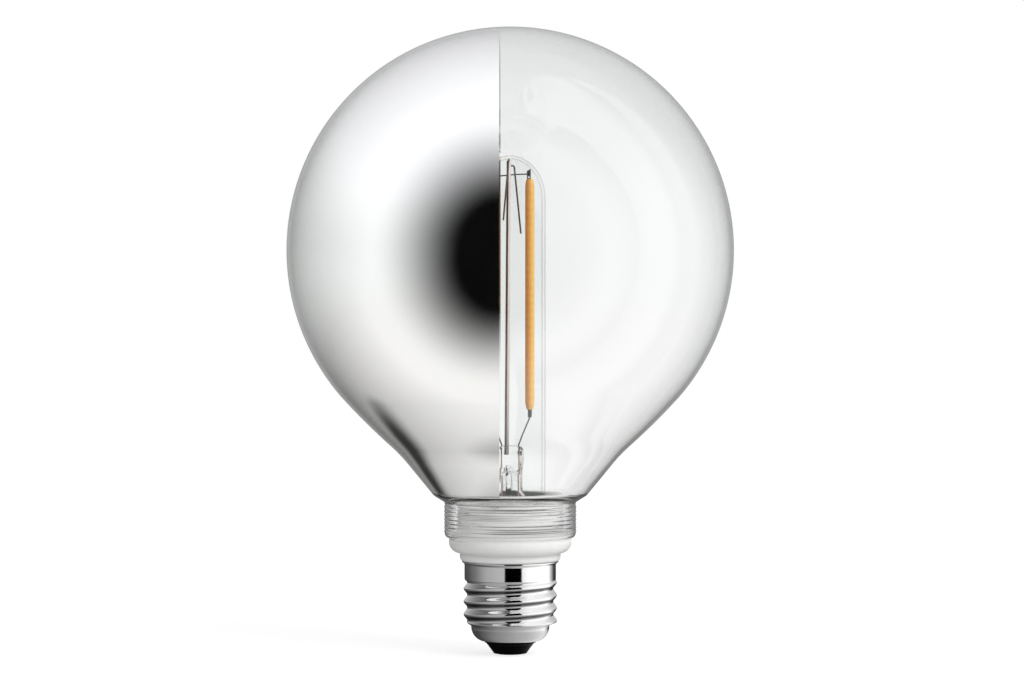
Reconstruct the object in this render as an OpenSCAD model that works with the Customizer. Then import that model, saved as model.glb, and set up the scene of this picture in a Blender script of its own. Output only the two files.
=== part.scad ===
// Globe lamp: a side-silvered outer globe round a clear inner tube with two
// light filaments, on a white collar and an E27 screw cap.
// The origin is the centre of the contact's face, and +Z runs up the lamp's axis.
// The front is at -Y, and the silvered side is at -X.

/* [Cap] */
// Height of the cap, from the contact's face to the shell's rim
cap_h = 26.2; // [24:0.1:30]
// Diameter over the crests of the cap's thread
thread_d = 26.2; // [25.8:0.1:26.5]
// Diameter at the roots of the cap's thread
thread_root_d = 24.2; // [23.9:0.1:24.6]
// Rise of one turn of the thread
thread_pitch = 3.629; // [3.2:0.001:4]
// Height at which the thread grows out of the cap's lower end
thread_start = 7.9; // [7.5:0.1:9]
// Height of the threaded stretch
thread_len = 13.4; // [11:0.1:14.5]
// Turn of the thread's start round the axis, in degrees
thread_phase = 140; // [0:5:355]
// Diameter of the plain band above the thread
band_d = 25.7; // [25:0.1:26]
// Sheet thickness of the screw shell
shell_wall = 0.3; // [0.2:0.05:0.4]
// How far the shell's rim is turned outwards
lip_reach = 0.7; // [0.4:0.1:1.2]
// Diameter of the opening in the shell's lower end
shell_mouth_d = 14.6; // [12:0.2:16]
// Height of the shell's lower edge above the contact's face
shell_edge_h = 3.7; // [3:0.1:4.5]
// Diameter of the insulator's foot
insulator_foot_d = 9.6; // [9:0.2:11]
// Height of the insulator's upper face
insulator_top_h = 6.3; // [5.8:0.1:7]
// Diameter of the centre contact
contact_d = 7.6; // [6:0.2:8.4]
// Thickness of the centre contact's disc
contact_t = 0.6; // [0.4:0.1:1]
// How far the contact stands out of the insulator's foot
contact_proud = 0.2; // [0.1:0.05:0.5]
// Diameter of the contact's rivet
rivet_d = 2.4; // [1.8:0.1:3]

/* [Collar] */
// Height of the collar's bowl, below the ledge that carries the globe
bowl_h = 4.2; // [3.5:0.1:6]
// Height of the ring between the bowl and the cap
ring_h = 2.3; // [1.5:0.1:4]
// How far the ring stands out past the cap's band
ring_step = 1.3; // [1:0.1:1.5]
// Height of the plug that stands in the globe's neck
plug_h = 12.5; // [10.5:0.1:14]
// Clear space between the plug and the neck's bore
plug_gap = 1.85; // [1.2:0.05:3]
// Height of the rim that centres the globe's neck
locator_h = 1.5; // [1:0.1:2.5]
// Wall of the collar
collar_wall = 2.2; // [1.6:0.1:2.6]
// Height of the spigot that stands in the cap's plain band
spigot_h = 4; // [3:0.1:4.4]
// Height of the skirt below the spigot that guides the driver board
skirt_h = 4; // [2:0.1:6]
// Diameter of the collar's bore in the spigot and the skirt
spigot_bore_d = 20.2; // [19:0.1:20.6]
// Play between the spigot and the cap's band
spigot_play = 0.1; // [0.05:0.05:0.3]

/* [Globe] */
// Outer diameter of the globe
globe_d = 125.2; // [116:1:150]
// Wall of the blown globe
globe_wall = 0.9; // [0.7:0.1:1.4]
// Outer diameter of the neck, at the roots of its ridges
neck_d = 36.8; // [36:0.1:38]
// Wall of the neck
neck_wall = 1.65; // [1.3:0.05:2]
// Height of the straight neck
neck_h = 10; // [9:0.1:12]
// Number of fine ridges round the neck
neck_ridges = 7; // [4:1:8]
// How far a ridge stands out of the neck
ridge_h = 0.18; // [0.1:0.02:0.3]
// Thickness of the cement between the neck's bore and the collar's rim
globe_cement_t = 0.3; // [0.2:0.05:0.5]
// Height of the shoulder between the neck and the throat
shoulder_h = 1.9; // [1.5:0.1:2.5]
// How far the shoulder stands out past the neck
shoulder_reach = 3.1; // [2.5:0.1:3.5]
// How far the throat's cone opens, as a share of the way out from the shoulder to the skirt's upper end
throat_share = 0.382; // [0.3:0.002:0.45]
// Angle of the throat's cone from the axis, in degrees
throat_slope = 39.3; // [36:0.1:42]
// Angle of the globe's skirt from the axis, in degrees
skirt_slope = 47.7; // [44:0.1:50]
// Latitude at which the skirt leaves the globe, in degrees below its middle
skirt_latitude = 42.6; // [38:0.1:46]
// Length over which the globe's curve eases into the skirt, as a share of the globe's diameter
skirt_ease_share = 0.065; // [0.04:0.001:0.07]

/* [Mirror] */
// Thickness of the mirror coating, drawn far thicker than a real film
mirror_t = 0.12; // [0.08:0.01:0.2]
// How far the mirror's straight edge lies to the left of the axis
mirror_edge = 2.9; // [0:0.1:20]
// How far the mirror coating reaches down into the neck
mirror_dip = 3; // [1:0.1:5]

/* [Inner tube] */
// Outer diameter of the inner tube
tube_d = 19.8; // [18:0.1:21.4]
// Wall of the inner tube
tube_wall = 0.8; // [0.6:0.05:1]
// Height of the inner tube's rounded end
tube_dome_h = 12.2; // [9.5:0.1:14]
// How deep the inner tube stands in the collar
tube_depth = 2.8; // [2:0.1:4]
// Thickness of the cement round the inner tube
tube_cement_t = 0.2; // [0.15:0.05:0.4]

/* [Stem] */
// Diameter of the glass stem
stem_d = 6.8; // [6.4:0.1:7.6]
// Wall of the glass stem
stem_wall = 0.7; // [0.5:0.05:0.9]
// Height of the flare that joins the stem to the inner tube
flare_h = 4.6; // [3.6:0.1:6]
// Height from the inner tube's lower end to the top of the press
stem_h = 16.4; // [15:0.1:22]
// Height of the press, where the glass closes round the wires
press_h = 7.3; // [6:0.1:9]
// Width of the press
press_w = 7.6; // [7:0.1:8.4]
// Thickness of the press between its two pinched faces
press_t = 3.6; // [3:0.1:4.4]
// Diameter of the exhaust tube
exhaust_d = 2.3; // [1.8:0.1:2.4]
// Wall of the exhaust tube
exhaust_wall = 0.45; // [0.3:0.05:0.6]
// How far the exhaust tube hangs out below the inner tube
exhaust_tail = 4; // [2:0.1:6]
// Diameter of the support post
post_d = 1.25; // [0.9:0.05:1.4]
// How deep the post and the wires stand in the press
press_depth = 2.1; // [1.5:0.1:2.6]

/* [Filaments] */
// Length of a filament's phosphor coat
filament_len = 64.5; // [50:0.5:80]
// Diameter of a filament's phosphor coat
filament_d = 2.6; // [2.3:0.1:3]
// Distance of each filament from the axis
filament_reach = 5.5; // [4.4:0.1:6]
// Height of the filaments' lower ends above the press
filament_rise = 10; // [8:0.1:14]
// Width of a filament's carrier strip
strip_w = 1; // [0.8:0.05:1.1]
// Thickness of a filament's carrier strip
strip_t = 0.4; // [0.3:0.05:0.5]
// Number of light chips on each strip
chip_count = 28; // [20:1:32]
// Width of a light chip
chip_w = 0.45; // [0.3:0.05:0.6]
// Thickness of a light chip
chip_t = 0.2; // [0.1:0.05:0.3]
// Width of a metal tab
tab_w = 1.1; // [0.8:0.05:1.2]
// Thickness of a metal tab
tab_t = 0.3; // [0.2:0.05:0.4]
// Length of the upper tab outside the filament
top_tab_len = 2.9; // [2.4:0.1:3.4]
// Length of the lower tab outside the filament
bottom_tab_len = 2.1; // [1.5:0.1:3]
// Diameter of the hole in the upper tab
tab_hole_d = 0.5; // [0.3:0.05:0.6]
// Distance from the filaments' upper ends to the top of the inner tube
headroom = 6.6; // [6:0.1:12]

/* [Wires] */
// Diameter of the lead wires
lead_d = 0.4; // [0.3:0.02:0.5]
// Distance of the leads from the axis in the press
lead_reach = 2.3; // [2.2:0.05:2.4]
// Diameter of the bridge wire
bridge_d = 0.38; // [0.3:0.02:0.5]
// Diameter of the spring anchor's wire
anchor_d = 0.5; // [0.4:0.02:0.6]
// Length of the spring anchor's legs along the axis
anchor_leg = 17; // [14:0.5:22]
// Diameter of the insulated wires in the cap
cap_wire_d = 0.7; // [0.5:0.05:0.8]

/* [Driver] */
// Width of the driver board
board_w = 21.2; // [20.6:0.1:21.8]
// Height of the driver board
board_h = 15.5; // [14:0.1:17]
// Thickness of the driver board
board_t = 1; // [0.8:0.1:1.2]
// Height of the driver board's lower edge above the insulator
board_gap = 3.2; // [2.8:0.1:4.5]
// Diameter of the smoothing capacitor
capacitor_d = 6.3; // [5:0.1:6.5]
// Length of the smoothing capacitor
capacitor_len = 11; // [8:0.1:11.5]
// Diameter of the choke
choke_d = 6.2; // [5:0.1:6.4]
// Height of the choke above the board
choke_h = 5.6; // [4:0.1:6]
// Width of the bridge rectifier
rectifier_w = 4.7; // [4:0.1:5]
// Height of the bridge rectifier
rectifier_h = 3.9; // [3:0.1:4.2]
// Width of the driver chip
chip_body_w = 4.9; // [4:0.1:5.2]
// Height of the driver chip
chip_body_h = 3.9; // [3:0.1:4.2]
// Diameter of the fuse resistor's body
fuse_d = 2.4; // [2:0.1:2.8]
// Length of the fuse resistor's body
fuse_len = 6; // [5:0.1:6.6]

/* [Hidden] */
$fn = 96;

// Side of the lamp: -1 is left, 1 is right
LEFT = -1;
RIGHT = 1;

// Clearance between pieces that are cemented, fused or soldered together
fit = 0.02;
// Play of a piece that is pushed into its seat
play = 0.1;
// Overlap that joins the solids of one piece, and overshoot of a cut
weld = 0.02;
over = 1;
// Swelling of a wire at its bends
bend_swell = 1.08;

// Heights of the seats, from the contact's face up
rim_z = cap_h;
bowl_z = rim_z + ring_h;
ledge_z = bowl_z + bowl_h;
glass_z = ledge_z + fit;
plug_z = ledge_z + plug_h;
tube_z = plug_z - tube_depth;
neck_top_z = ledge_z + neck_h;
shoulder_z = neck_top_z + shoulder_h;
press_z = tube_z + stem_h;
filament_z = press_z + filament_rise;
filament_top_z = filament_z + filament_len;
tube_top_z = filament_top_z + headroom;

// Radii that the pieces share. The shell is a sheet with flat sides round it.
shell_sides = 36;
thread_r = thread_d / 2;
root_r = thread_root_d / 2;
band_r = band_d / 2;
mouth_r = shell_mouth_d / 2;
ring_r = band_r + ring_step;
neck_r = neck_d / 2;
bore_r = neck_r - neck_wall;
plug_r = bore_r - plug_gap;
locator_r = bore_r - globe_cement_t - fit;
globe_r = globe_d / 2;
tube_r = tube_d / 2;
tube_bore_r = tube_r - tube_wall;
socket_r = tube_r + tube_cement_t + fit;
stem_r = stem_d / 2;
stem_bore_r = stem_r - stem_wall;
shell_bore_r = (band_r - shell_wall) * cos(180 / shell_sides);
spigot_r = shell_bore_r - spigot_play;
spigot_bore_r = spigot_bore_d / 2;
skirt_r = (root_r - shell_wall) * cos(180 / shell_sides) - spigot_play;

// Globe: the skirt and the throat are straight in section, with eased corners.
// The skirt starts a hair inside the round part, so that the two join.
rim_round = 1.2;
neck_fillet = 0.8;
shoulder_round = 3;
throat_ease = 0.36 * globe_d;
skirt_ease = skirt_ease_share * globe_d;
collar_r = neck_r - rim_round;
skirt_dir = [sin(skirt_slope), cos(skirt_slope)];
leave_dir = [sin(skirt_latitude), cos(skirt_latitude)];
leave_r = globe_r - weld;
leave_x = leave_r * cos(skirt_latitude);
shoulder_p = [neck_r + shoulder_reach, shoulder_z];
throat_spread = throat_share * (leave_x - shoulder_p.x);
throat_p = shoulder_p + [throat_spread, throat_spread / tan(throat_slope)];
skirt_len = (leave_x - skirt_ease * leave_dir.x - throat_p.x) / skirt_dir.x;
skirt_p = throat_p + skirt_len * skirt_dir;
leave_p = skirt_p + skirt_ease * leave_dir;
globe_z = leave_p.y + leave_r * sin(skirt_latitude);
skirt_round = skirt_ease * tan(90 - (skirt_slope - skirt_latitude) / 2);
cavity_foot_z = neck_top_z + neck_wall - globe_wall;
ridges_top_z = neck_top_z - neck_fillet;
ridge_pitch = (ridges_top_z - glass_z - rim_round) / neck_ridges;
cement_bead = 1.5;

// Stem, post and anchor
flare_z = tube_z + flare_h;
press_foot_z = press_z - press_h;
press_r = press_w / 2;
press_round = 1.6;
jaw_r = 6;
exhaust_x = -0.5;
exhaust_seat = 1.2;
blow_hole_d = 1;
post_foot = [-1, 0, press_z - press_depth];
post_lean = 0.6;
apex_z = tube_top_z - tube_wall - anchor_d / 2 - play;
post_top = [post_foot.x + post_lean, 0, apex_z - anchor_d / 2 - 2 * fit];
anchor_left_x = -1.9;
anchor_right_x = 3;
anchor_arch = 1.8;

// Filaments: how far the strips, chips and tabs sit in the coats
strip_inset = 0.6;
coat_tip_r = 0.7;
coat_taper = 2.8;
chip_y = -(strip_t + chip_t) / 2;
tab_slant = 0.7;
tab_inset = 0.3;
bridge_z = filament_top_z + 1.4;
bridge_drop = 0.5;

// Leads, from the lower tab down into the press
lead_y = -(tab_t + lead_d) / 2 - fit;
lead_top_z = press_z - press_depth;
weld_z = press_foot_z + 0.3;
lead_path = [
    [filament_reach, lead_y, filament_z - bottom_tab_len / 3],
    [filament_reach, lead_y, filament_z - bottom_tab_len],
    [(filament_reach + lead_reach) / 2 - 0.5, lead_y / 2, (filament_z - bottom_tab_len + press_z) / 2 - 1],
    [lead_reach, 0, press_z],
    [lead_reach, 0, lead_top_z]
];

// Cap
insulator_foot_z = contact_proud;
insulator_step = 0.4;
foot_round = 0.3;
rivet_head_h = 0.5;
live_foot_z = insulator_top_h - 2;
dome_inset = 1.1;
thread_run_out = 1.2;
thread_row_count = 28;

// Collar and what stands in its spigot
spigot_foot_z = rim_z - spigot_h;
skirt_foot_z = spigot_foot_z - skirt_h;
ring_round = 1.1;
collar_edge_round = 0.6;
boss_wall = 1.6;
floor_t = 1.8;
socket_floor_r = 7.5;
notch_roof = 0.6;
neutral_angle = -32;

// Driver: its parts and pads stand on a grid across the board
board_z = insulator_top_h + board_gap;
board_top_z = board_z + board_h;
board_face = board_t / 2;
board_chamfer = 1.5;
board_grid = board_w / 53;
outer_pad_x = 10 * board_grid;
board_lead_y = -board_face - fit - lead_d / 2;
lead_bend = 2;
capacitor_x = 11.5 * board_grid;
capacitor_gap = 2.8;
capacitor_groove = 0.5;
pin_d = 0.5;
pin_pitch = 2.5;
choke_x = 11 * board_grid;
choke_rise = 4.4;
choke_flange = 0.14;
package_x = 9.5 * board_grid;
package_z = 10.6;
rectifier_t = 2.3;
chip_body_t = 1.5;
leg_t = 0.2;
leg_w = 0.6;
fuse_rise = 3.6;
live_pad_x = 10 * board_grid;
neutral_pad_x = 20.5 * board_grid;
neutral_drop = 0.8;
neutral_rise_r = (spigot_bore_r + skirt_r) / 2;
neutral_bend_r = spigot_bore_r - cap_wire_d;

function unit(v) = v / norm(v);
function xy(p) = [p.x, p.y];
function turn_left(v) = [-v.y, v.x];
function last(list) = list[len(list) - 1];
function without_first(list) = [for (i = [1 : len(list) - 1]) list[i]];

// Arc in the corner [x, y, radius] between the points before and after it
function corner_arc(before, corner, after, steps = 8) =
    let (
        here = xy(corner),
        back = unit(xy(before) - here),
        ahead = unit(xy(after) - here),
        half = acos(back * ahead) / 2,
        centre = here + unit(back + ahead) * corner.z / sin(half),
        start = here + back * corner.z / tan(half) - centre,
        sweep = -sign(cross(back, ahead)) * (180 - 2 * half)
    )
    [
        for (i = [0 : steps])
            let (a = sweep * i / steps)
            centre + [start.x * cos(a) - start.y * sin(a), start.x * sin(a) + start.y * cos(a)]
    ];

// A path of corners [x, y, radius], with an arc in each corner that has a radius
function eased(path) = [
    for (i = [0 : len(path) - 1])
        each path[i].z > 0 ? corner_arc(path[i - 1], path[i], path[i + 1]) : [xy(path[i])]
];

// The same path of corners, moved to the left of its run
function moved(path, by) = [
    for (i = [0 : len(path) - 1])
        let (
            a = max(i, 1),
            b = min(i, len(path) - 2),
            n1 = turn_left(unit(xy(path[a]) - xy(path[a - 1]))),
            n2 = turn_left(unit(xy(path[b + 1]) - xy(path[b]))),
            shift = (n1 + n2) / (1 + n1 * n2) * by,
            corner = path[i].z > 0 ? path[i].z - sign(cross(n1, n2)) * by : 0
        )
        [path[i].x + shift.x, path[i].y + shift.y, corner]
];

// Arc of an ellipse round a centre, between two angles
function ellipse_arc(centre, half_axes, from, to, steps = 12) = [
    for (i = [0 : steps])
        let (a = from + (to - from) * i / steps)
        centre + [half_axes.x * cos(a), half_axes.y * sin(a)]
];

module on_side(side) {
    if (side == RIGHT) children();
    else mirror([1, 0, 0]) children();
}

// Straight round rod between two points
module rod(from, to, d) {
    run = to - from;
    translate(from)
        rotate([0, acos(run.z / norm(run)), atan2(run.y, run.x)])
            cylinder(d = d, h = norm(run));
}

// Round wire along a path, with a hair of swelling at each bend
module wire(path, d) {
    for (i = [1 : len(path) - 1])
        rod(path[i - 1], path[i], d);
    if (len(path) > 2)
        for (i = [1 : len(path) - 2])
            let (way = unit(unit(path[i] - path[i - 1]) + unit(path[i + 1] - path[i])))
            translate(path[i])
                rotate([0, acos(way.z), atan2(way.y, way.x)])
                    sphere(d = d * bend_swell);
}

// Turned ring between two radii and two heights
module ring(inner_r, outer_r, low_z, high_z) {
    rotate_extrude()
        translate([inner_r, low_z])
            square([outer_r - inner_r, high_z - low_z]);
}

// Outer corners of the globe below its round part, from the skirt to the neck
globe_path = [
    [each (leave_p + leave_dir), 0],
    [each skirt_p, skirt_round],
    [each throat_p, throat_ease],
    [each shoulder_p, shoulder_round],
    [neck_r, neck_top_z, neck_fillet],
    [neck_r, glass_z + rim_round, 0]
];

// Ridges of the neck, from the top one down
function ridge_points() = [
    for (i = [0 : neck_ridges - 1])
        let (z = ridges_top_z - ridge_pitch * (i + 0.5))
        each [
            [neck_r, z + ridge_pitch * 0.42],
            [neck_r + ridge_h, z + ridge_pitch * 0.14],
            [neck_r + ridge_h, z - ridge_pitch * 0.14],
            [neck_r, z - ridge_pitch * 0.42]
        ]
];

// Outer outline of the globe's glass, as a list of points below the round part
function glass_points() = [
    each [for (i = [0 : 3]) globe_path[i]],
    globe_path[4],
    each [for (p = ridge_points()) [p.x, p.y, 0]],
    [neck_r, glass_z, rim_round],
    [bore_r - over, glass_z, 0]
];

// Outline of the globe's cavity, or of a film inside it, at a depth under the surface
function cavity_points(depth, foot_z) =
    let (inner = moved(globe_path, -depth), inner_r = bore_r + globe_wall - depth)
    [
        each [for (i = [0 : 3]) inner[i]],
        [inner_r, cavity_foot_z, neck_fillet],
        [inner_r, foot_z, 0]
    ];

// A solid globe: its round part, turned with the path of corners below it
module solid_globe(r, path) {
    points = without_first(eased(path));
    translate([0, 0, globe_z]) sphere(r = r);
    rotate_extrude()
        polygon([each points, [0, last(points).y], [0, globe_z]]);
}

module outer_globe() {
    color("lavender", 0.3)
        difference() {
            solid_globe(globe_r, glass_points());
            solid_globe(globe_r - globe_wall, cavity_points(globe_wall, glass_z - over));
        }
}

module mirror_coating() {
    outer = globe_wall + fit;
    foot_z = neck_top_z - mirror_dip;
    color("silver")
        difference() {
            intersection() {
                solid_globe(globe_r - outer, cavity_points(outer, foot_z));
                translate([-mirror_edge - globe_d, -globe_d, 0]) cube([globe_d, 2 * globe_d, 3 * globe_d]);
            }
            solid_globe(globe_r - outer - mirror_t, cavity_points(outer + mirror_t, foot_z - over));
        }
}

module globe_cement() {
    top_z = ledge_z + locator_h;
    color("whitesmoke")
        rotate_extrude()
            polygon([
                [locator_r + fit, ledge_z + fit],
                [bore_r - fit, ledge_z + fit],
                [bore_r - fit, top_z + cement_bead],
                [plug_r + fit, top_z + cement_bead / 3],
                [plug_r + fit, top_z + fit],
                [locator_r + fit, top_z + fit]
            ]);
}

module inner_tube() {
    dome_z = tube_top_z - tube_dome_h;
    color("lavender", 0.3)
        rotate_extrude()
            polygon([
                [tube_bore_r, tube_z],
                [tube_r, tube_z],
                each ellipse_arc([0, dome_z], [tube_r, tube_dome_h], 0, 90),
                each ellipse_arc([0, dome_z], [tube_bore_r, tube_dome_h - tube_wall], 90, 0)
            ]);
}

module tube_cement() {
    color("whitesmoke")
        ring(tube_r + fit, socket_r - fit, tube_z + fit, plug_z - play);
}

// Glass stem: a flare, a tube and a press that closes round the wires
module stem() {
    flare_r = tube_bore_r - fit;
    color("lavender", 0.4)
        difference() {
            rotate_extrude()
                difference() {
                    polygon([
                        [0, tube_z],
                        [flare_r, tube_z],
                        each ellipse_arc([flare_r, flare_z], [flare_r - stem_r, flare_h - stem_wall], 270, 180),
                        [stem_r, press_foot_z],
                        [press_r, press_foot_z + press_h * 0.5],
                        each without_first(ellipse_arc(
                            [press_r - press_round, press_z - press_round],
                            [press_round, press_round], 0, 90, 8
                        )),
                        [0, press_z]
                    ]);
                    polygon([
                        [-over, tube_z - over],
                        [flare_r - weld, tube_z - over],
                        each ellipse_arc([flare_r, flare_z], [flare_r - stem_bore_r, flare_h], 269, 180),
                        [stem_bore_r, press_foot_z - stem_bore_r * 0.4],
                        [stem_bore_r * 0.6, press_foot_z],
                        [-over, press_foot_z]
                    ]);
                }
            // Marks of the pinching jaws
            for (side = [-1, 1])
                translate([0, side * (press_t / 2 + jaw_r), press_z - press_h * 0.45])
                    rotate([0, 90, 0])
                        cylinder(r = jaw_r, h = 4 * press_r, center = true);
            // Seats of the exhaust tube, the post and the leads
            translate([exhaust_x, 0, press_foot_z - over])
                cylinder(d = exhaust_d + 2 * fit, h = over + exhaust_seat);
            translate([exhaust_x, 0, press_foot_z])
                cylinder(d = exhaust_d - 2 * exhaust_wall, h = exhaust_seat + blow_hole_d);
            translate([exhaust_x, 0, press_foot_z + exhaust_seat + blow_hole_d / 2])
                rotate([90, 0, 0])
                    cylinder(d = blow_hole_d, h = stem_d);
            rod(post_foot - [0, 0, fit], post_foot + (post_top - post_foot) * 0.1, post_d + 2 * fit);
            for (side = [LEFT, RIGHT])
                on_side(side) {
                    rod(lead_path[3], lead_path[2], lead_d + 2 * fit);
                    rod(lead_path[3], lead_path[4], lead_d + 2 * fit);
                    translate([lead_reach, 0, press_foot_z - over])
                        cylinder(d = lead_d + 2 * fit, h = lead_path[3].z - press_foot_z + over);
                }
        }
}

module exhaust_tube() {
    foot_z = tube_z - exhaust_tail;
    outer_r = exhaust_d / 2;
    inner_r = outer_r - exhaust_wall;
    color("lavender", 0.4)
        translate([exhaust_x, 0, 0])
            rotate_extrude()
                polygon([
                    [0, foot_z],
                    each ellipse_arc([0, foot_z + outer_r], [outer_r, outer_r], -80, 0, 6),
                    [outer_r, press_foot_z + exhaust_seat - fit],
                    [inner_r, press_foot_z + exhaust_seat - fit],
                    [inner_r, foot_z + 2 * outer_r],
                    [0, foot_z + 1.2 * outer_r]
                ]);
}

module support_post() {
    color("rosybrown")
        rod(post_foot, post_top, post_d);
}

// Spring wire over the post's end: its two legs centre the mount in the tube
module spring_anchor() {
    wall_r = tube_bore_r - anchor_d / 2 - play;
    side_y = (post_d + anchor_d) / 2 + fit;
    color("gray")
        wire([
            [anchor_left_x, -sqrt(pow(wall_r, 2) - pow(anchor_left_x, 2)), apex_z - anchor_leg],
            [post_top.x, -side_y, apex_z],
            [post_top.x + play, side_y, apex_z - fit],
            [post_top.x + anchor_d, 2 * side_y, apex_z - anchor_arch],
            [post_top.x + 3 * anchor_d, 2.5 * side_y, apex_z - 0.9 * anchor_arch],
            [
                anchor_right_x, sqrt(pow(wall_r, 2) - pow(anchor_right_x, 2)),
                apex_z - anchor_leg - 2 * anchor_arch
            ]
        ], anchor_d);
}

// Bent wire behind the post, welded to the backs of both upper tabs
module bridge_wire() {
    tab_y = (tab_t + bridge_d) / 2 + fit;
    post_y = (post_d + bridge_d) / 2 + fit;
    color("gray")
        wire([
            [tab_inset - filament_reach, tab_y, bridge_z - bridge_drop],
            [-2 * post_d, post_y + fit, bridge_z - 0.9 * bridge_drop],
            [post_d, post_y, bridge_z - bridge_drop / 2],
            [filament_reach - tab_inset, tab_y, bridge_z]
        ], bridge_d);
}

// Phosphor coat with the room for its strip, chips and tabs
module filament_coat(side) {
    r = filament_d / 2;
    strip_z = filament_z + strip_inset;
    color("orange")
        on_side(side)
            translate([filament_reach, 0, 0])
                difference() {
                    rotate_extrude()
                        polygon([
                            [0, filament_z],
                            each ellipse_arc(
                                [coat_tip_r, filament_z + coat_taper], [r - coat_tip_r, coat_taper], -90, 0, 8
                            ),
                            each ellipse_arc(
                                [coat_tip_r, filament_top_z - coat_taper], [r - coat_tip_r, coat_taper], 0, 90, 8
                            ),
                            [0, filament_top_z]
                        ]);
                    upright_box(strip_w + 2 * fit, strip_t + 2 * fit, strip_z, filament_top_z - strip_inset, 0);
                    upright_box(chip_w + 2 * fit, chip_t + 2 * fit, strip_z, filament_top_z - strip_inset, chip_y);
                    upright_box(tab_w + 2 * fit, tab_t + 2 * fit, filament_z - over, strip_z + fit, 0);
                    translate([-tab_inset, 0, filament_top_z - strip_inset - fit])
                        upright_box(tab_w + 2 * fit, tab_t + 2 * fit, 0, over + strip_inset, 0);
                }
}

// Box centred on X and on the given Y, between two heights
module upright_box(width, depth, low_z, high_z, y) {
    translate([-width / 2, y - depth / 2, low_z])
        cube([width, depth, high_z - low_z]);
}

module filament_strip(side) {
    color("ivory")
        on_side(side)
            translate([filament_reach, 0, 0])
                upright_box(
                    strip_w, strip_t, filament_z + strip_inset + fit, filament_top_z - strip_inset - fit, 0
                );
}

module light_chips(side) {
    first_z = filament_z + 2 * strip_inset;
    pitch = (filament_len - 4 * strip_inset) / chip_count;
    color("gold")
        on_side(side)
            translate([filament_reach, 0, 0])
                for (i = [0 : chip_count - 1])
                    upright_box(chip_w, chip_t, first_z + pitch * (i + 0.2), first_z + pitch * (i + 0.8), chip_y);
}

// Upper tab, with a slanted end and a hole
module top_tab(side) {
    low_z = filament_top_z - strip_inset;
    high_z = filament_top_z + top_tab_len;
    color("dimgray")
        on_side(side)
            translate([filament_reach - tab_inset, tab_t / 2, 0])
                rotate([90, 0, 0])
                    linear_extrude(tab_t)
                        difference() {
                            polygon([
                                [-tab_w / 2, low_z], [tab_w / 2, low_z],
                                [tab_w / 2, high_z], [-tab_w / 2, high_z - tab_slant]
                            ]);
                            translate([0, filament_top_z + tab_hole_d]) circle(d = tab_hole_d);
                        }
}

module bottom_tab(side) {
    color("dimgray")
        on_side(side)
            translate([filament_reach, 0, 0])
                upright_box(tab_w, tab_t, filament_z - bottom_tab_len, filament_z + strip_inset, 0);
}

// Lead from the lower tab into the press
module inner_lead(side) {
    color("gray")
        on_side(side)
            wire([for (i = [0 : 4]) lead_path[i]], lead_d);
}

// Copper-clad wire that is melted into the press
module seal_lead(side) {
    color("peru")
        on_side(side)
            rod([lead_reach, 0, weld_z], [lead_reach, 0, lead_top_z - fit], lead_d);
}

// Copper wire from the press down to the driver board
module outer_lead(side) {
    color("peru")
        on_side(side)
            wire([
                [lead_reach, 0, weld_z - fit],
                [lead_reach, 0, flare_z],
                [lead_reach + play, 0, tube_z - exhaust_tail],
                [outer_pad_x, board_lead_y, board_top_z + lead_bend],
                [outer_pad_x, board_lead_y, board_top_z - lead_bend / 2]
            ], lead_d);
}

// White collar: a plug in the neck, the bowl and the ring, and a spigot in the cap
module collar() {
    boss_r = socket_r + boss_wall;
    inner_r = plug_r - collar_wall;
    color("white")
        difference() {
            rotate_extrude()
                polygon(eased([
                    [spigot_bore_r, skirt_foot_z, 0],
                    [skirt_r, skirt_foot_z, 0],
                    [skirt_r, spigot_foot_z, 0],
                    [spigot_r, spigot_foot_z, 0],
                    [spigot_r, rim_z + fit, 0],
                    [ring_r, rim_z + fit, ring_round],
                    [ring_r, bowl_z, 0],
                    [collar_r, bowl_z, collar_r - ring_r - weld],
                    [collar_r, ledge_z, 0],
                    [locator_r, ledge_z, 0],
                    [locator_r, ledge_z + locator_h, collar_edge_round / 2],
                    [plug_r, ledge_z + locator_h, 0],
                    [plug_r, plug_z, collar_edge_round],
                    [socket_r, plug_z, 0],
                    [socket_r, tube_z - fit, 0],
                    [socket_floor_r, tube_z - fit, 0],
                    [socket_floor_r, tube_z - floor_t, 0],
                    [boss_r, tube_z - floor_t, 0],
                    [boss_r, plug_z - collar_wall, 0],
                    [inner_r, plug_z - collar_wall, 0],
                    [inner_r, bowl_z + collar_wall / 2, 0],
                    [spigot_bore_r, rim_z + ring_h / 2, 0]
                ]));
            // Slots for the driver board's edges
            translate([-board_w / 2 - play, -board_t / 2 - fit, skirt_foot_z - over])
                cube([board_w + 2 * play, board_t + 2 * fit, board_top_z + fit - skirt_foot_z + over]);
            // Notch that lets the neutral wire out to the shell
            rotate(neutral_angle)
                translate([spigot_bore_r - over, -cap_wire_d / 2 - play, skirt_foot_z - over])
                    cube([spigot_r, cap_wire_d + 2 * play, rim_z - notch_roof - skirt_foot_z + over]);
        }
}

// Radius of the screw shell's outside at a height and an angle
function thread_radius(z, angle) =
    let (turns = (z - thread_start) / thread_pitch - (angle + thread_phase) / 360)
    root_r + (thread_r - root_r) * (1 + cos(360 * turns)) / 2;

// How much of the thread's form there is at a height, from 0 to 1
function thread_share(z) =
    let (
        from_end = min(z - thread_start, thread_start + thread_len - z) / thread_run_out,
        s = min(max(from_end, 0), 1)
    )
    s * s * (3 - 2 * s);

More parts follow.
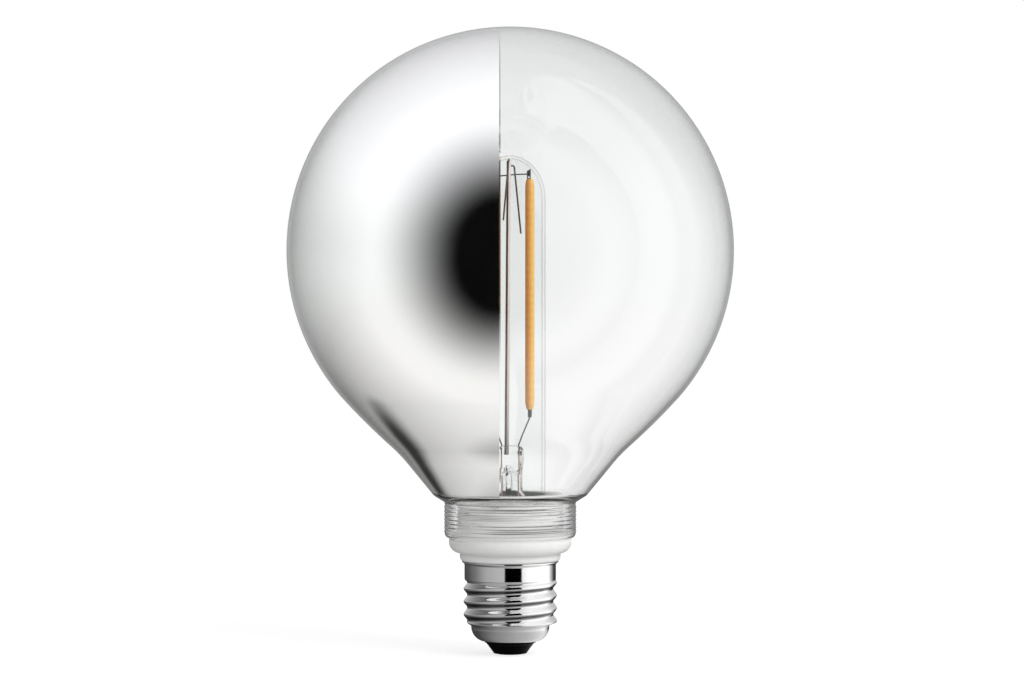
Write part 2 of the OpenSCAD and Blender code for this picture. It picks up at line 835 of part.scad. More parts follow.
// Rows [radius, height, depth under the outside] round the shell's sheet
dome_r = root_r - dome_inset;
function thread_rows(steps, depth) = [
    for (i = [1 : steps])
        let (z = thread_start + thread_len * i / (steps + 1))
        [i < steps / 2 ? dome_r : band_r, z, depth]
];
function dome_rows(steps, depth) = [
    for (i = [0 : steps])
        let (a = 90 * i / steps)
        [
            mouth_r + (dome_r - mouth_r - depth) * sin(a),
            shell_edge_h + depth + (thread_start - shell_edge_h - depth) * (1 - cos(a)),
            0
        ]
];
function reversed(list) = [for (i = [len(list) - 1 : -1 : 0]) list[i]];
shell_rows = [
    each dome_rows(6, 0),
    each thread_rows(thread_row_count, 0),
    [band_r, thread_start + thread_len, 0],
    [band_r, rim_z - shell_wall - lip_reach, 0],
    [band_r + lip_reach / 2, rim_z - shell_wall - lip_reach / 4, 0],
    [band_r + lip_reach, rim_z - shell_wall, 0],
    [band_r + lip_reach, rim_z, 0],
    [band_r + lip_reach / 4, rim_z - lip_reach / 8, 0],
    [band_r - shell_wall, rim_z - lip_reach, 0],
    [band_r - shell_wall, thread_start + thread_len, 0],
    each reversed(thread_rows(thread_row_count / 2, shell_wall)),
    each reversed(dome_rows(4, shell_wall))
];

// Screw shell, pressed from thin sheet, with its helical thread
module screw_shell() {
    rows = len(shell_rows);
    points = [
        for (row = shell_rows, j = [0 : shell_sides - 1])
            let (
                angle = 360 * j / shell_sides,
                share = thread_share(row.y),
                r = row.x * (1 - share) + thread_radius(row.y, angle) * share - row.z
            )
            [r * cos(angle), r * sin(angle), row.y]
    ];
    faces = [
        for (i = [0 : rows - 1], j = [0 : shell_sides - 1])
            let (
                a = i * shell_sides + j,
                b = i * shell_sides + (j + 1) % shell_sides,
                c = (i + 1) % rows * shell_sides + (j + 1) % shell_sides,
                d = (i + 1) % rows * shell_sides + j
            )
            each [[a, d, c], [a, c, b]]
    ];
    color("silver") polyhedron(points, faces);
}

// Black insulator, moulded through the mouth of the shell
module base_insulator() {
    hole_r = rivet_d / 2 + fit;
    recess_r = contact_d / 2 + fit;
    recess_z = contact_t + fit;
    seat_r = dome_r - mouth_r - shell_wall;
    seat_h = thread_start - shell_edge_h - shell_wall;
    seat_z = shell_edge_h + shell_wall + play;
    seat_end = acos(1 - (insulator_top_h - seat_z) / seat_h);
    color([0.05, 0.05, 0.05])
        rotate_extrude()
            polygon([
                [hole_r, recess_z],
                [recess_r, recess_z],
                [recess_r, insulator_foot_z],
                each without_first(ellipse_arc(
                    [insulator_foot_d / 2 - foot_round, insulator_foot_z + foot_round],
                    [foot_round, foot_round], -90, 0, 4
                )),
                [mouth_r - insulator_step, shell_edge_h - insulator_step],
                [mouth_r - play, shell_edge_h - insulator_step],
                [mouth_r - play, seat_z],
                for (i = [1 : 8])
                    let (a = seat_end * i / 8)
                    [mouth_r + seat_r * sin(a) - play, seat_z + seat_h * (1 - cos(a))],
                [hole_r, insulator_top_h]
            ]);
}

// Centre contact: a disc with a hollow rivet through the insulator
module centre_contact() {
    head_r = rivet_d / 2 + rivet_head_h;
    top_z = insulator_top_h + fit + rivet_head_h;
    color("goldenrod")
        difference() {
            rotate_extrude()
                polygon([
                    [0, 0],
                    each ellipse_arc([contact_d / 2 - foot_round, foot_round], [foot_round, foot_round], -90, 0, 4),
                    [contact_d / 2, contact_t],
                    [rivet_d / 2, contact_t],
                    [rivet_d / 2, insulator_top_h + fit],
                    [head_r, insulator_top_h + fit],
                    [head_r, top_z],
                    [0, top_z]
                ]);
            translate([0, 0, live_foot_z - fit])
                cylinder(d = cap_wire_d + 2 * fit, h = insulator_top_h);
        }
}

module driver_board() {
    color("seagreen")
        translate([0, board_face, 0])
            rotate([90, 0, 0])
                linear_extrude(board_t)
                    polygon([
                        [-board_w / 2 + board_chamfer, board_z],
                        [board_w / 2 - board_chamfer, board_z],
                        [board_w / 2, board_z + board_chamfer],
                        [board_w / 2, board_top_z],
                        [-board_w / 2, board_top_z],
                        [-board_w / 2, board_z + board_chamfer]
                    ]);
}

// Electrolytic capacitor, upright against the board's front
module smoothing_capacitor() {
    r = capacitor_d / 2;
    low_z = board_z + capacitor_gap;
    high_z = low_z + capacitor_len;
    centre_y = -board_face - fit - r;
    color("midnightblue")
        translate([-capacitor_x, centre_y, 0]) {
            rotate_extrude()
                polygon(eased([
                    [0, low_z, 0], [r, low_z, 0.4], [r, high_z - 2 * capacitor_groove, 0],
                    [r - capacitor_groove, high_z - 1.5 * capacitor_groove, 0],
                    [r, high_z - capacitor_groove, 0],
                    [r - capacitor_groove, high_z, 0], [0, high_z, 0]
                ]));
            for (side = [-1, 1])
                wire([
                    [side * pin_pitch / 2, 0, high_z - fit],
                    [side * pin_pitch / 2, 0, high_z + pin_d],
                    [side * pin_pitch / 2, r, high_z + pin_d]
                ], pin_d);
        }
}

// Drum choke on the board's front
module choke() {
    r = choke_d / 2;
    color("darkslategray")
        translate([choke_x, -board_face - fit, board_z + choke_rise])
            rotate([90, 0, 0])
                rotate_extrude()
                    polygon([
                        [0, 0], [r, 0], [r, choke_h / 6], [r * (1 - choke_flange), choke_h / 6],
                        [r * (1 - choke_flange), choke_h * 5 / 6], [r, choke_h * 5 / 6], [r, choke_h], [0, choke_h]
                    ]);
}

// Flat package with four legs on the board's back
module package(width, height, depth, x, z) {
    translate([x, board_face + fit, board_z + z]) {
        translate([-width / 2, leg_t, -height / 2]) cube([width, depth, height]);
        for (sx = [-1, 1], sz = [-1, 1])
            translate([sx * width / 4 - leg_w / 2, 0, sz > 0 ? height / 2 - weld : -height / 2 - leg_w])
                cube([leg_w, 2 * leg_t, leg_w + weld]);
    }
}

module bridge_rectifier() {
    color("dimgray") package(rectifier_w, rectifier_h, rectifier_t, -package_x, package_z);
}

module driver_chip() {
    color("dimgray") package(chip_body_w, chip_body_h, chip_body_t, package_x, package_z);
}

// Fuse resistor across the board's back, with its two bent leads
module fuse_resistor() {
    r = fuse_d / 2;
    y = board_face + fit + r;
    z = board_z + fuse_rise;
    pad_x = fuse_len / 2 + pin_d * 2;
    color("seashell") {
        translate([-fuse_len / 2, y, z])
            rotate([0, 90, 0])
                rotate_extrude()
                    polygon(eased([
                        [0, 0, 0], [r, 0, 0.4], [r, fuse_len / 4, 0], [r * 0.85, fuse_len / 3, 0],
                        [r * 0.85, fuse_len * 2 / 3, 0], [r, fuse_len * 3 / 4, 0],
                        [r, fuse_len, 0.4], [0, fuse_len, 0]
                    ]));
        for (side = [-1, 1])
            wire([
                [side * (fuse_len / 2 - fit), y, z],
                [side * pad_x, y, z],
                [side * pad_x, board_face + fit, z]
            ], pin_d);
    }
}

// Wire from the contact's rivet to the board
module live_wire() {
    face_y = -board_face - fit - cap_wire_d / 2;
    color("firebrick")
        wire([
            [0, 0, live_foot_z],
            [0, 0, insulator_top_h + 2 * cap_wire_d],
            [-live_pad_x * 0.6, face_y, board_z - cap_wire_d],
            [-live_pad_x, face_y, board_z + cap_wire_d / 2],
            [-live_pad_x, face_y, board_z + 2 * cap_wire_d]
        ], cap_wire_d);
}

// Wire from the board, under the collar's skirt and up its notch to the inside of the shell
module neutral_wire() {
    end_r = shell_bore_r - cap_wire_d / 2 - 2 * fit;
    way = [cos(neutral_angle), sin(neutral_angle)];
    face_y = -board_face - fit - cap_wire_d / 2;
    low_z = skirt_foot_z - neutral_drop;
    color("steelblue")
        wire([
            [neutral_pad_x, face_y, low_z + 4 * cap_wire_d],
            [neutral_pad_x, face_y, low_z + cap_wire_d],
            [each (neutral_bend_r * way), low_z],
            [each (neutral_rise_r * way), skirt_foot_z],
            [each ((neutral_rise_r + play) * way), spigot_foot_z - cap_wire_d],
            [each (end_r * way), spigot_foot_z + 2 * cap_wire_d],
            [each (end_r * way), rim_z - 2 * notch_roof]
        ], cap_wire_d);
}

outer_globe();
mirror_coating();
globe_cement();
inner_tube();
tube_cement();
stem();
exhaust_tube();
support_post();
spring_anchor();
bridge_wire();
filament_coat(LEFT);  // filament_coat_left
filament_coat(RIGHT);  // filament_coat_right
filament_strip(LEFT);  // filament_strip_left
filament_strip(RIGHT);  // filament_strip_right
light_chips(LEFT);  // light_chips_left
light_chips(RIGHT);  // light_chips_right
top_tab(LEFT);  // top_tab_left
top_tab(RIGHT);  // top_tab_right
bottom_tab(LEFT);  // bottom_tab_left
bottom_tab(RIGHT);  // bottom_tab_right
inner_lead(LEFT);  // inner_lead_left
inner_lead(RIGHT);  // inner_lead_right
seal_lead(LEFT);  // seal_lead_left
seal_lead(RIGHT);  // seal_lead_right
outer_lead(LEFT);  // outer_lead_left
outer_lead(RIGHT);  // outer_lead_right
collar();
screw_shell();
base_insulator();
centre_contact();
driver_board();
smoothing_capacitor();
choke();
bridge_rectifier();
driver_chip();
fuse_resistor();
live_wire();
neutral_wire();
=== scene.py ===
"""Looks of the side-silvered globe lamp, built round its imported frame."""

import math

import bmesh
import bpy
from mathutils import Matrix, Vector


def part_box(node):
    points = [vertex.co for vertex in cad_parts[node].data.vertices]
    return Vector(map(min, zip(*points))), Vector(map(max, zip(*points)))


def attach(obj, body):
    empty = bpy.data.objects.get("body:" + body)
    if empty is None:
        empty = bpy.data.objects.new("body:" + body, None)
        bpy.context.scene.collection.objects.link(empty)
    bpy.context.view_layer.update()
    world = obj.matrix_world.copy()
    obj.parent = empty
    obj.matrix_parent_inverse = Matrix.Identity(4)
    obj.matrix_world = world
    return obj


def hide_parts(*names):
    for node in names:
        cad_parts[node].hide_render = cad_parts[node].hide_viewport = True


bl_info = {
    "name": "Side-silvered globe lamp",
    "version": (1, 0, 0),
    "blender": (4, 5, 0),
    "location": "View3D > Sidebar > Lamp",
    "description": "Builds the glass, wires, collar, cap and stage of a globe lamp",
    "category": "Object",
}

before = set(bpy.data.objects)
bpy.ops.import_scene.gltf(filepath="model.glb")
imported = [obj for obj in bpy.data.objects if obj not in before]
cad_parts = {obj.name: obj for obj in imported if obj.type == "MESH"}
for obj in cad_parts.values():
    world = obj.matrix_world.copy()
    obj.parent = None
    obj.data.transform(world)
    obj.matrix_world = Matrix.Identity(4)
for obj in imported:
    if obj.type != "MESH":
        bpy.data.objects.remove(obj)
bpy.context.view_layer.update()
MM = 0.001
ROOT = "root"
TURN = 2 * math.pi
PLAY = 0.02 * MM  # air between pieces that lie on one another
POST_R = 0.625 * MM
TAB_T = 0.15 * MM
WHITE = (1.0, 1.0, 1.0, 1.0)
FLOOR_HALF = 30.0
DARK_PATCH = (-72 * MM, 60 * MM, 0.0)  # the floor's dark patch, which the film shows at its lower left
FILM_POINT = (-20 * MM, -45 * MM, 90 * MM)  # the film's point from which the floor's tones are laid out
# What the bright cap reflects, as (bearing from the front in degrees, level): the walls, the ceiling, the
# floor round the lamp and the floor under the cap.
WALLS = (
    (-180, 0.55), (-140, 0.45), (-115, 0.34), (-93, 0.30), (-61, 0.46), (-33, 0.52), (0, 0.55), (32, 1.0),
    (45, 1.2), (108, 1.2), (140, 0.60), (180, 0.55),
)
CEILING = (
    (-180, 0.4), (-93, 0.12), (-61, 0.26), (-33, 0.36), (0, 0.42), (60, 1.05), (115, 1.0), (150, 0.6),
    (180, 0.45),
)
FLOOR_ROUND = (
    (-180, 0.05), (-128, 0.08), (-93, 0.20), (-61, 0.42), (-33, 0.50), (0, 0.55), (32, 1.0), (45, 1.2),
    (108, 1.3), (126, 0.40), (138, 0.05), (180, 0.05),
)
FLOOR_UNDER = (
    (-180, 0.04), (-93, 0.06), (-61, 0.14), (-33, 0.26), (0, 0.36), (43, 0.52), (103, 0.85), (180, 0.15),
)


def length(label, note, millimetres):
    """A length property, given in millimetres."""
    return bpy.props.FloatProperty(
        name=label, description=note, default=millimetres * MM, min=0.0, unit="LENGTH", precision=5
    )


def angle(label, note, degrees):
    """An angle property, given in degrees."""
    return bpy.props.FloatProperty(
        name=label, description=note, default=math.radians(degrees), unit="ROTATION"
    )


def number(label, note, value, low=0.0, high=10.0):
    """A plain factor."""
    return bpy.props.FloatProperty(name=label, description=note, default=value, min=low, max=high)


def tint(label, note, value):
    """A linear colour."""
    return bpy.props.FloatVectorProperty(
        name=label, description=note, default=value, size=3, min=0.0, max=1.0, subtype="COLOR"
    )


class GlobeSizes(bpy.types.PropertyGroup):
    """Sizes of the blown globe and its mirror film."""

    diameter: length("Diameter", "Outer diameter of the globe", 125.2)
    wall: length("Wall", "Wall of the globe", 0.9)
    neck_d: length("Neck diameter", "Diameter of the neck at the roots of its ridges", 36.8)
    neck_wall: length("Neck wall", "Wall of the neck", 1.65)
    neck_h: length("Neck height", "Height of the straight neck", 10.0)
    ridge_h: length("Ridge height", "How far a ridge stands out of the neck", 0.18)
    shoulder_h: length("Shoulder height", "Height of the shoulder over the neck", 1.9)
    shoulder_reach: length("Shoulder reach", "How far the shoulder stands out", 3.1)
    throat_share: number("Throat share", "Share of the way to the skirt's end that the throat takes", 0.382)
    throat_slope: angle("Throat slope", "Angle of the throat's cone from the axis", 39.3)
    skirt_ease: number("Skirt ease", "Length of the eased skirt, as a share of the globe's diameter", 0.065)
    skirt_slope: angle("Skirt slope", "Angle of the skirt from the axis", 47.7)
    skirt_latitude: angle("Skirt latitude", "Latitude at which the skirt leaves the globe", 42.6)
    ridges: bpy.props.IntProperty(name="Ridges", description="Ridges round the neck", default=7, min=1)
    mirror_edge: length("Mirror edge", "Distance of the mirror's edge from the axis", 2.9)
    mirror_t: length("Mirror thickness", "Thickness of the mirror film", 0.12)


class WireSizes(bpy.types.PropertyGroup):
    """Sizes of the inner tube and its wires."""

    tube_wall: length("Tube wall", "Wall of the inner tube", 0.8)
    tube_dome_h: length("Tube dome", "Height of the inner tube's rounded end", 12.2)
    filament_reach: length("Filament reach", "Distance of a filament from the axis", 5.5)
    lead_d: length("Lead wire", "Diameter of the lead wires", 0.4)
    lead_reach: length("Lead reach", "Distance of the leads from the axis in the press", 2.3)
    bridge_d: length("Bridge wire", "Diameter of the bridge wire", 0.38)
    anchor_d: length("Anchor wire", "Diameter of the spring anchor's wire", 0.5)
    anchor_leg: length("Anchor leg", "Length of the spring anchor's legs", 17.0)
    bend: length("Bend", "Radius of the wires' bends", 0.6)


class CapSizes(bpy.types.PropertyGroup):
    """Sizes of the screw cap."""

    crest_d: length("Crest diameter", "Diameter over the thread's crests", 26.2)
    root_d: length("Root diameter", "Diameter at the thread's roots", 24.2)
    pitch: length("Pitch", "Rise of one turn of the thread", 3.629)
    start: length("Thread start", "Height at which the thread begins", 7.9)
    phase: angle("Phase", "Turn of the thread's start round the axis", 140.0)
    run: length("Thread run", "Height of the threaded stretch", 13.4)
    fade: length("Thread fade", "Height over which the thread fades in and out", 1.2)
    band_d: length("Band diameter", "Diameter of the plain band", 25.7)
    mouth_d: length("Mouth diameter", "Diameter of the shell's lower opening", 14.6)
    edge_h: length("Edge height", "Height of the shell's lower edge", 3.7)
    dome_inset: length("Dome inset", "How far the lower dome lies inside the thread's roots", 1.1)
    wall: length("Sheet", "Sheet thickness of the shell", 0.3)
    lip: length("Lip", "How far the rim is turned outwards", 0.7)


class LampColours(bpy.types.PropertyGroup):
    """Colours of the lamp's finishes."""

    glass: tint("Glass", "Tint of the clear glass", (0.985, 0.99, 0.988))
    film: tint("Mirror film", "Colour of the silver film", (0.97, 0.97, 0.975))
    nickel: tint("Nickel", "Colour of the plated shell", (0.88, 0.88, 0.88))
    collar: tint("Collar", "Colour of the white collar", (0.80, 0.80, 0.79))
    # The filament's two tones are painted light: redder on its shaded left side, yellower on its lit right
    # side.
    shaded_orange: tint("Orange phosphor", "Redder side of a filament", (1.0, 0.41, 0.085))
    lit_amber: tint("Amber phosphor", "Yellower side of a filament", (1.0, 0.57, 0.14))
    wire: tint("Wire", "Colour of the dull wires", (0.20, 0.165, 0.14))
    copper: tint("Copper", "Colour of the copper-clad wires", (0.62, 0.33, 0.27))
    insulator: tint("Insulator", "Colour of the cap's insulator", (0.0015, 0.0015, 0.0015))


class StageLooks(bpy.types.PropertyGroup):
    """Camera and light."""

    distance: length("Camera distance", "Distance from the camera to the lamp's axis", 1000.0)
    eye_h: length("Camera height", "Height of the camera", 113.3)
    aim_h: length("Aim height", "Height at the middle of the picture", 87.9)
    aim_x: length("Aim offset", "How far right of the axis the camera aims", 0.5)
    lens: number("Lens", "Focal length in millimetres", 125.4, 1.0, 500.0)
    key: number("Key light", "Power of the key light in watts", 7.0, 0.0, 500.0)
    fill: number("Fill light", "Power of the fill light in watts", 1.6, 0.0, 500.0)
    ambient: number("Ambient", "Level of the light all round", 0.60)


class LampSettings(bpy.types.PropertyGroup):
    """All the settings of the lamp."""

    globe: bpy.props.PointerProperty(type=GlobeSizes, name="Globe", description="Globe sizes")
    wires: bpy.props.PointerProperty(type=WireSizes, name="Wires", description="Wire sizes")
    cap: bpy.props.PointerProperty(type=CapSizes, name="Cap", description="Cap sizes")
    colours: bpy.props.PointerProperty(type=LampColours, name="Colours", description="Finishes")
    stage: bpy.props.PointerProperty(type=StageLooks, name="Stage", description="Camera and light")


def settings():
    """The lamp's settings in the open scene."""
    return bpy.context.scene.globe_lamp


def low(node):
    """Lowest corner of a frame node."""
    return Vector(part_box(node)[0])


def high(node):
    """Highest corner of a frame node."""
    return Vector(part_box(node)[1])


class Shader:
    """A material's node tree, with short calls for its nodes."""

    def __init__(self, name, tree=None):
        self.material = None
        if tree is None:
            self.material = bpy.data.materials.new(name)
            self.material.use_nodes = True
            tree = self.material.node_tree
            tree.nodes.clear()
        self.tree = tree

    def add(self, kind, inputs=(), **facts):
        """Adds a node, sets its facts, and links or sets its inputs."""
        node = self.tree.nodes.new(kind)
        for key, value in facts.items():
            setattr(node, key, value)
        for key, value in dict(inputs).items():
            if isinstance(value, bpy.types.NodeSocket):
                self.tree.links.new(value, node.inputs[key])
            else:
                node.inputs[key].default_value = value
        return node

    def math(self, operation, a, b=0.0, c=0.0):
        """One sum on numbers or sockets."""
        return self.add("ShaderNodeMath", {0: a, 1: b, 2: c}, operation=operation).outputs[0]

    def times(self, a, b):
        """A product."""
        return self.math("MULTIPLY", a, b)

    def vector(self, operation, inputs, output="Vector"):
        """One sum on vectors."""
        return self.add("ShaderNodeVectorMath", inputs, operation=operation).outputs[output]

    def split(self, vector):
        """The three parts of a vector."""
        return self.add("ShaderNodeSeparateXYZ", {0: vector}).outputs

    def ramp(self, value, start, end, to_start=0.0, to_end=1.0, smooth=True):
        """Maps a value from one stretch to another, held at both ends."""
        kind = "SMOOTHSTEP" if smooth else "LINEAR"
        return self.add(
            "ShaderNodeMapRange",
            {"Value": value, "From Min": start, "From Max": end, "To Min": to_start, "To Max": to_end},
            interpolation_type=kind,
        ).outputs["Result"]

    def steps(self, value, start, end, stops):
        """A level that runs straight between stops of (value, level)."""
        share = self.ramp(value, start, end, smooth=False)
        node = self.add("ShaderNodeValToRGB", {0: share})
        band = node.color_ramp.elements
        top = max(level for _place, level in stops)
        for index, (place, level) in enumerate(stops):
            part = (place - start) / (end - start)
            element = band[index] if index < 2 else band.new(1.0)
            element.position = part
            element.color = (level / top,) * 3 + (1.0,)
        return self.times(self.add("ShaderNodeSeparateColor", {0: node.outputs[0]}).outputs[0], top)

    def blend(self, share, first, second):
        """Goes from one number to another."""
        return self.math("MULTIPLY_ADD", share, self.math("SUBTRACT", second, first), first)

    def mix(self, share, first, second):
        """Mixes two colours."""
        node = self.add("ShaderNodeMix", data_type="RGBA")
        for index, value in ((0, share), (6, first), (7, second)):
            if isinstance(value, bpy.types.NodeSocket):
                self.tree.links.new(value, node.inputs[index])
            elif index == 0:
                node.inputs[index].default_value = value
            else:
                node.inputs[index].default_value = (*value, 1.0)
        return node.outputs[2]

    def over(self, share, first, second):
        """Mixes two shaders."""
        return self.add("ShaderNodeMixShader", {0: share, 1: first, 2: second}).outputs[0]

    def glow(self, level, colour=WHITE, kind="Emission"):
        """Even light of a level and a colour."""
        return self.add("ShaderNode" + kind, {"Color": colour, "Strength": level}).outputs[0]

    def clear(self, colour=WHITE):
        """Lets rays through unbent."""
        return self.add("ShaderNodeBsdfTransparent", {"Color": colour}).outputs[0]

    def spot(self):
        """The point's Object coordinates."""
        return self.add("ShaderNodeTexCoord").outputs["Object"]

    def place(self):
        """The point's Object coordinates, as three sockets."""
        return self.split(self.spot())

    def grain(self, scale, detail=3.0, stretch=(1.0, 1.0, 1.0)):
        """Noise on Object coordinates, from 0 to 1. The scale is per metre."""
        turned = self.add("ShaderNodeMapping", {"Vector": self.spot(), "Scale": stretch}).outputs[0]
        inputs = {"Vector": turned, "Scale": scale, "Detail": detail}
        return self.add("ShaderNodeTexNoise", inputs).outputs["Fac"]

    def level(self, noise, first, second):
        """A value that goes with a noise from one level to another."""
        return self.ramp(noise, 0.3, 0.7, first, second)

    def relief(self, height, depth):
        """A bump of the given depth, in metres."""
        inputs = {"Height": height, "Distance": depth, "Strength": 1.0}
        return self.add("ShaderNodeBump", inputs).outputs["Normal"]

    def surface(self, shader):
        """Ends the tree in a shader and returns the material."""
        self.add("ShaderNodeOutputMaterial", {"Surface": shader})
        return self.material

    def coat(self, inputs):
        """Ends the tree in a principled shader."""
        return self.surface(self.add("ShaderNodeBsdfPrincipled", inputs).outputs[0])


def scaled(colour, factor):
    """A colour made darker or paler."""
    return tuple(min(1.0, part * factor) for part in colour)


def glass_finish(name, colour, ior=1.5, waviness=0.0):
    """Clear glass with a slow change of tint, which lets soft light and shadow rays through."""
    s = Shader(name)
    inputs = {
        "Base Color": s.mix(s.grain(38.0, 1.0), colour, scaled(colour, 1.008)),
        "Roughness": 0.0,
        "IOR": ior,
        "Transmission Weight": 1.0,
    }
    if waviness:
        inputs["Normal"] = s.relief(s.grain(60.0, 1.5, (1.0, 1.0, 0.5)), waviness)
    glass = s.add("ShaderNodeBsdfPrincipled", inputs).outputs[0]
    path = s.add("ShaderNodeLightPath").outputs
    free = s.math("MAXIMUM", path["Is Shadow Ray"], path["Is Diffuse Ray"])
    return s.surface(s.over(free, glass, s.clear((0.98, 0.98, 0.98, 1.0))))


def thin_glass_finish(name, colour):
    """Thin clear glass that bends no rays and shines towards its rims."""
    s = Shader(name)
    facing = s.add("ShaderNodeLayerWeight").outputs["Facing"]
    clear = s.clear(s.mix(s.grain(38.0, 1.0), colour, scaled(colour, 1.008)))
    shine = s.add("ShaderNodeBsdfGlossy", {"Color": (0.9, 0.9, 0.9, 1.0), "Roughness": 0.0}).outputs[0]
    return s.surface(s.over(s.ramp(facing, 0.6, 1.0, 0.012, 0.4), clear, shine))


def film_finish(name, colour, foot):
    """Silver film with a faint, slow change of tone, which thins out towards its foot in the neck."""
    s = Shader(name)
    z = s.math("ADD", s.place()[2], s.times(s.grain(300.0, 2.0, (1.0, 1.0, 4.0)), 1.2 * MM))
    silver = s.add(
        "ShaderNodeBsdfPrincipled",
        {
            "Base Color": s.mix(s.grain(25.0, 2.0), scaled(colour, 0.97), colour),
            "Metallic": 1.0,
            "Roughness": s.level(s.grain(40.0, 2.0), 0.03, 0.05),
        },
    ).outputs[0]
    return s.surface(s.over(s.ramp(z, foot + 1.6 * MM, foot + 7.4 * MM), s.clear(), silver))


def metal_finish(name, colour, roughness, scratch, grain):
    """Metal with fine scratches that run round the lamp."""
    s = Shader(name)
    fine = s.grain(grain, 3.0, (1.0, 1.0, 6.0))
    return s.coat(
        {
            "Base Color": s.mix(s.ramp(s.grain(220.0, 4.0), 0.35, 0.65), scaled(colour, 0.95), colour),
            "Metallic": 1.0,
            "Roughness": s.level(fine, roughness * 0.8, roughness * 1.3),
            "Normal": s.relief(fine, scratch),
        }
    )


def thread_angle(s, place, start, phase, pitch):
    """The height over the thread's start and the angle along the thread's wave, at a point."""
    x, y, z = place
    rise = s.math("SUBTRACT", z, start)
    turn = s.math("DIVIDE", s.math("ADD", s.math("ARCTAN2", y, x), phase), TURN)
    return rise, s.times(s.math("SUBTRACT", s.math("DIVIDE", rise, pitch), turn), TURN)


def nickel_finish(name, colour, c):
    """Bright nickel with fine scratches round the cap and painted shade: a dark line under each turn of the
    thread.
    """
    s = Shader(name)
    fine = s.grain(1600.0, 3.0, (1.0, 1.0, 6.0))
    rise, wave = thread_angle(s, s.place(), c.start, c.phase, c.pitch)
    # Painted shade: the base colour goes dark in a line under each turn of the thread, with a little noise
    # along its edge.
    under = s.times(s.math("SINE", wave), -1.0)
    wobbly_groove_shade = s.math("MULTIPLY_ADD", s.grain(500.0, 3.0), 0.2, under)
    threaded = s.times(s.ramp(rise, 0.0, 1.2 * MM), s.ramp(rise, c.run - 0.9 * MM, c.run, 1.0, 0.0))
    painted_groove_shade = s.times(s.ramp(wobbly_groove_shade, 0.55, 1.08), threaded)
    plate = s.mix(s.ramp(s.grain(220.0, 4.0), 0.35, 0.65), scaled(colour, 0.96), colour)
    return s.coat(
        {
            "Base Color": s.mix(painted_groove_shade, plate, (0.10, 0.095, 0.09)),
            "Metallic": 1.0,
            "Roughness": s.level(fine, 0.055, 0.09),
            "Normal": s.relief(fine, 0.0006 * MM),
        }
    )


def plain_finish(name, colour, roughness, change=0.06, scale=300.0, bump=0.0, coat=0.0, gloss=0.5):
    """Plastic, ceramic or lacquer with a fine mottle and a fine surface."""
    s = Shader(name)
    inputs = {
        "Base Color": s.mix(s.level(s.grain(scale, 4.0), 0.0, 1.0), scaled(colour, 1.0 - change), colour),
        "Roughness": s.level(s.grain(scale * 3.0, 2.0), roughness * 0.85, roughness * 1.15),
        "Coat Weight": coat,
        "Coat Roughness": 0.1,
        "Specular IOR Level": gloss,
    }
    if bump:
        inputs["Normal"] = s.relief(s.grain(scale * 6.0, 3.0), bump)
    return s.coat(inputs)


def ring_reflection_finish(name, colour):
    """Shiny white body with fine, uneven rings round the lamp: each ring is a relief and a painted
    reflection, a dark line in the base colour.
    """
    s = Shader(name)
    rings = s.ramp(s.grain(260.0, 3.0, (0.06, 0.06, 4.6)), 0.36, 0.62)
    # Painted reflection: the base colour goes dark along the rings, standing for the neck's ridges seen in
    # the glass; the bump is the rings' own relief.
    return s.coat(
        {
            "Base Color": s.mix(s.ramp(rings, 0.0, 0.6), scaled(colour, 0.24), colour),
            "Roughness": s.ramp(rings, 0.0, 1.0, 0.22, 0.4),
            "Normal": s.relief(rings, 0.25 * MM),
        }
    )


def phosphor_finish(name, side, look):
    """Soft coat with painted light: redder and darker on its shaded left, yellower and lighter on its lit
    right, with a faint trace of the chips.
    """
    s = Shader(name)
    x, _y, z = s.place()
    across = s.math("SUBTRACT", x, side * settings().wires.filament_reach)
    # Painted light: share runs from the filament's shaded left side to its lit right side.
    share = s.ramp(s.math("ADD", across, s.times(s.grain(160.0), 0.4 * MM)), -0.3 * MM, 0.9 * MM)
    beat = s.math("SINE", s.times(z, TURN / (2.2 * MM)))
    light = s.mix(share, tuple(look.shaded_orange), tuple(look.lit_amber))
    dark = s.mix(share, scaled(look.shaded_orange, 0.94), scaled(look.lit_amber, 0.94))
    return s.coat(
        {
            "Base Color": s.mix(s.ramp(beat, -1.0, 1.0), dark, light),
            "Roughness": s.level(s.grain(900.0), 0.42, 0.55),
            "Subsurface Weight": 0.15,
            "Subsurface Scale": MM,
            "Normal": s.relief(s.grain(700.0, 3.0), 0.02 * MM),
        }
    )


def post_finish(name, foot, top):
    """Post of coloured glass, pale pink, with painted shade: a dark stripe down its left side."""
    s = Shader(name)
    x, _y, z = s.place()
    slope = (top.x - foot.x) / (top.z - foot.z)
    axis = s.math("MULTIPLY_ADD", s.math("SUBTRACT", z, foot.z), slope, foot.x)
    across = s.math("ADD", s.math("SUBTRACT", x, axis), s.times(s.grain(120.0), 0.1 * MM))
    # Painted shade: the colour goes dark in a stripe down the post's left side and stays pale pink on its
    # lit right side.
    painted_shade_stripe = s.times(s.ramp(across, -0.58 * MM, -0.45 * MM), s.ramp(across, -0.05 * MM, 0.1 * MM, 1.0, 0.0))
    colour = s.mix(painted_shade_stripe, (0.86, 0.76, 0.72), (0.10, 0.055, 0.04))
    return s.coat({"Base Color": colour, "Roughness": 0.12, "Coat Weight": 0.5, "Coat Roughness": 0.03})


def solid(name, points, faces, material, crease=35.0):
    """A smooth mesh object at the origin, with edges sharper than the crease kept crisp."""
    mesh = bpy.data.meshes.new(name)
    mesh.from_pydata([tuple(p) for p in points], [], faces)
    mesh.validate()
    mesh.shade_smooth()
    mesh.set_sharp_from_angle(angle=math.radians(crease))
    mesh.materials.append(material)
    piece = bpy.data.objects.new(name, mesh)
    bpy.context.scene.collection.objects.link(piece)
    return piece


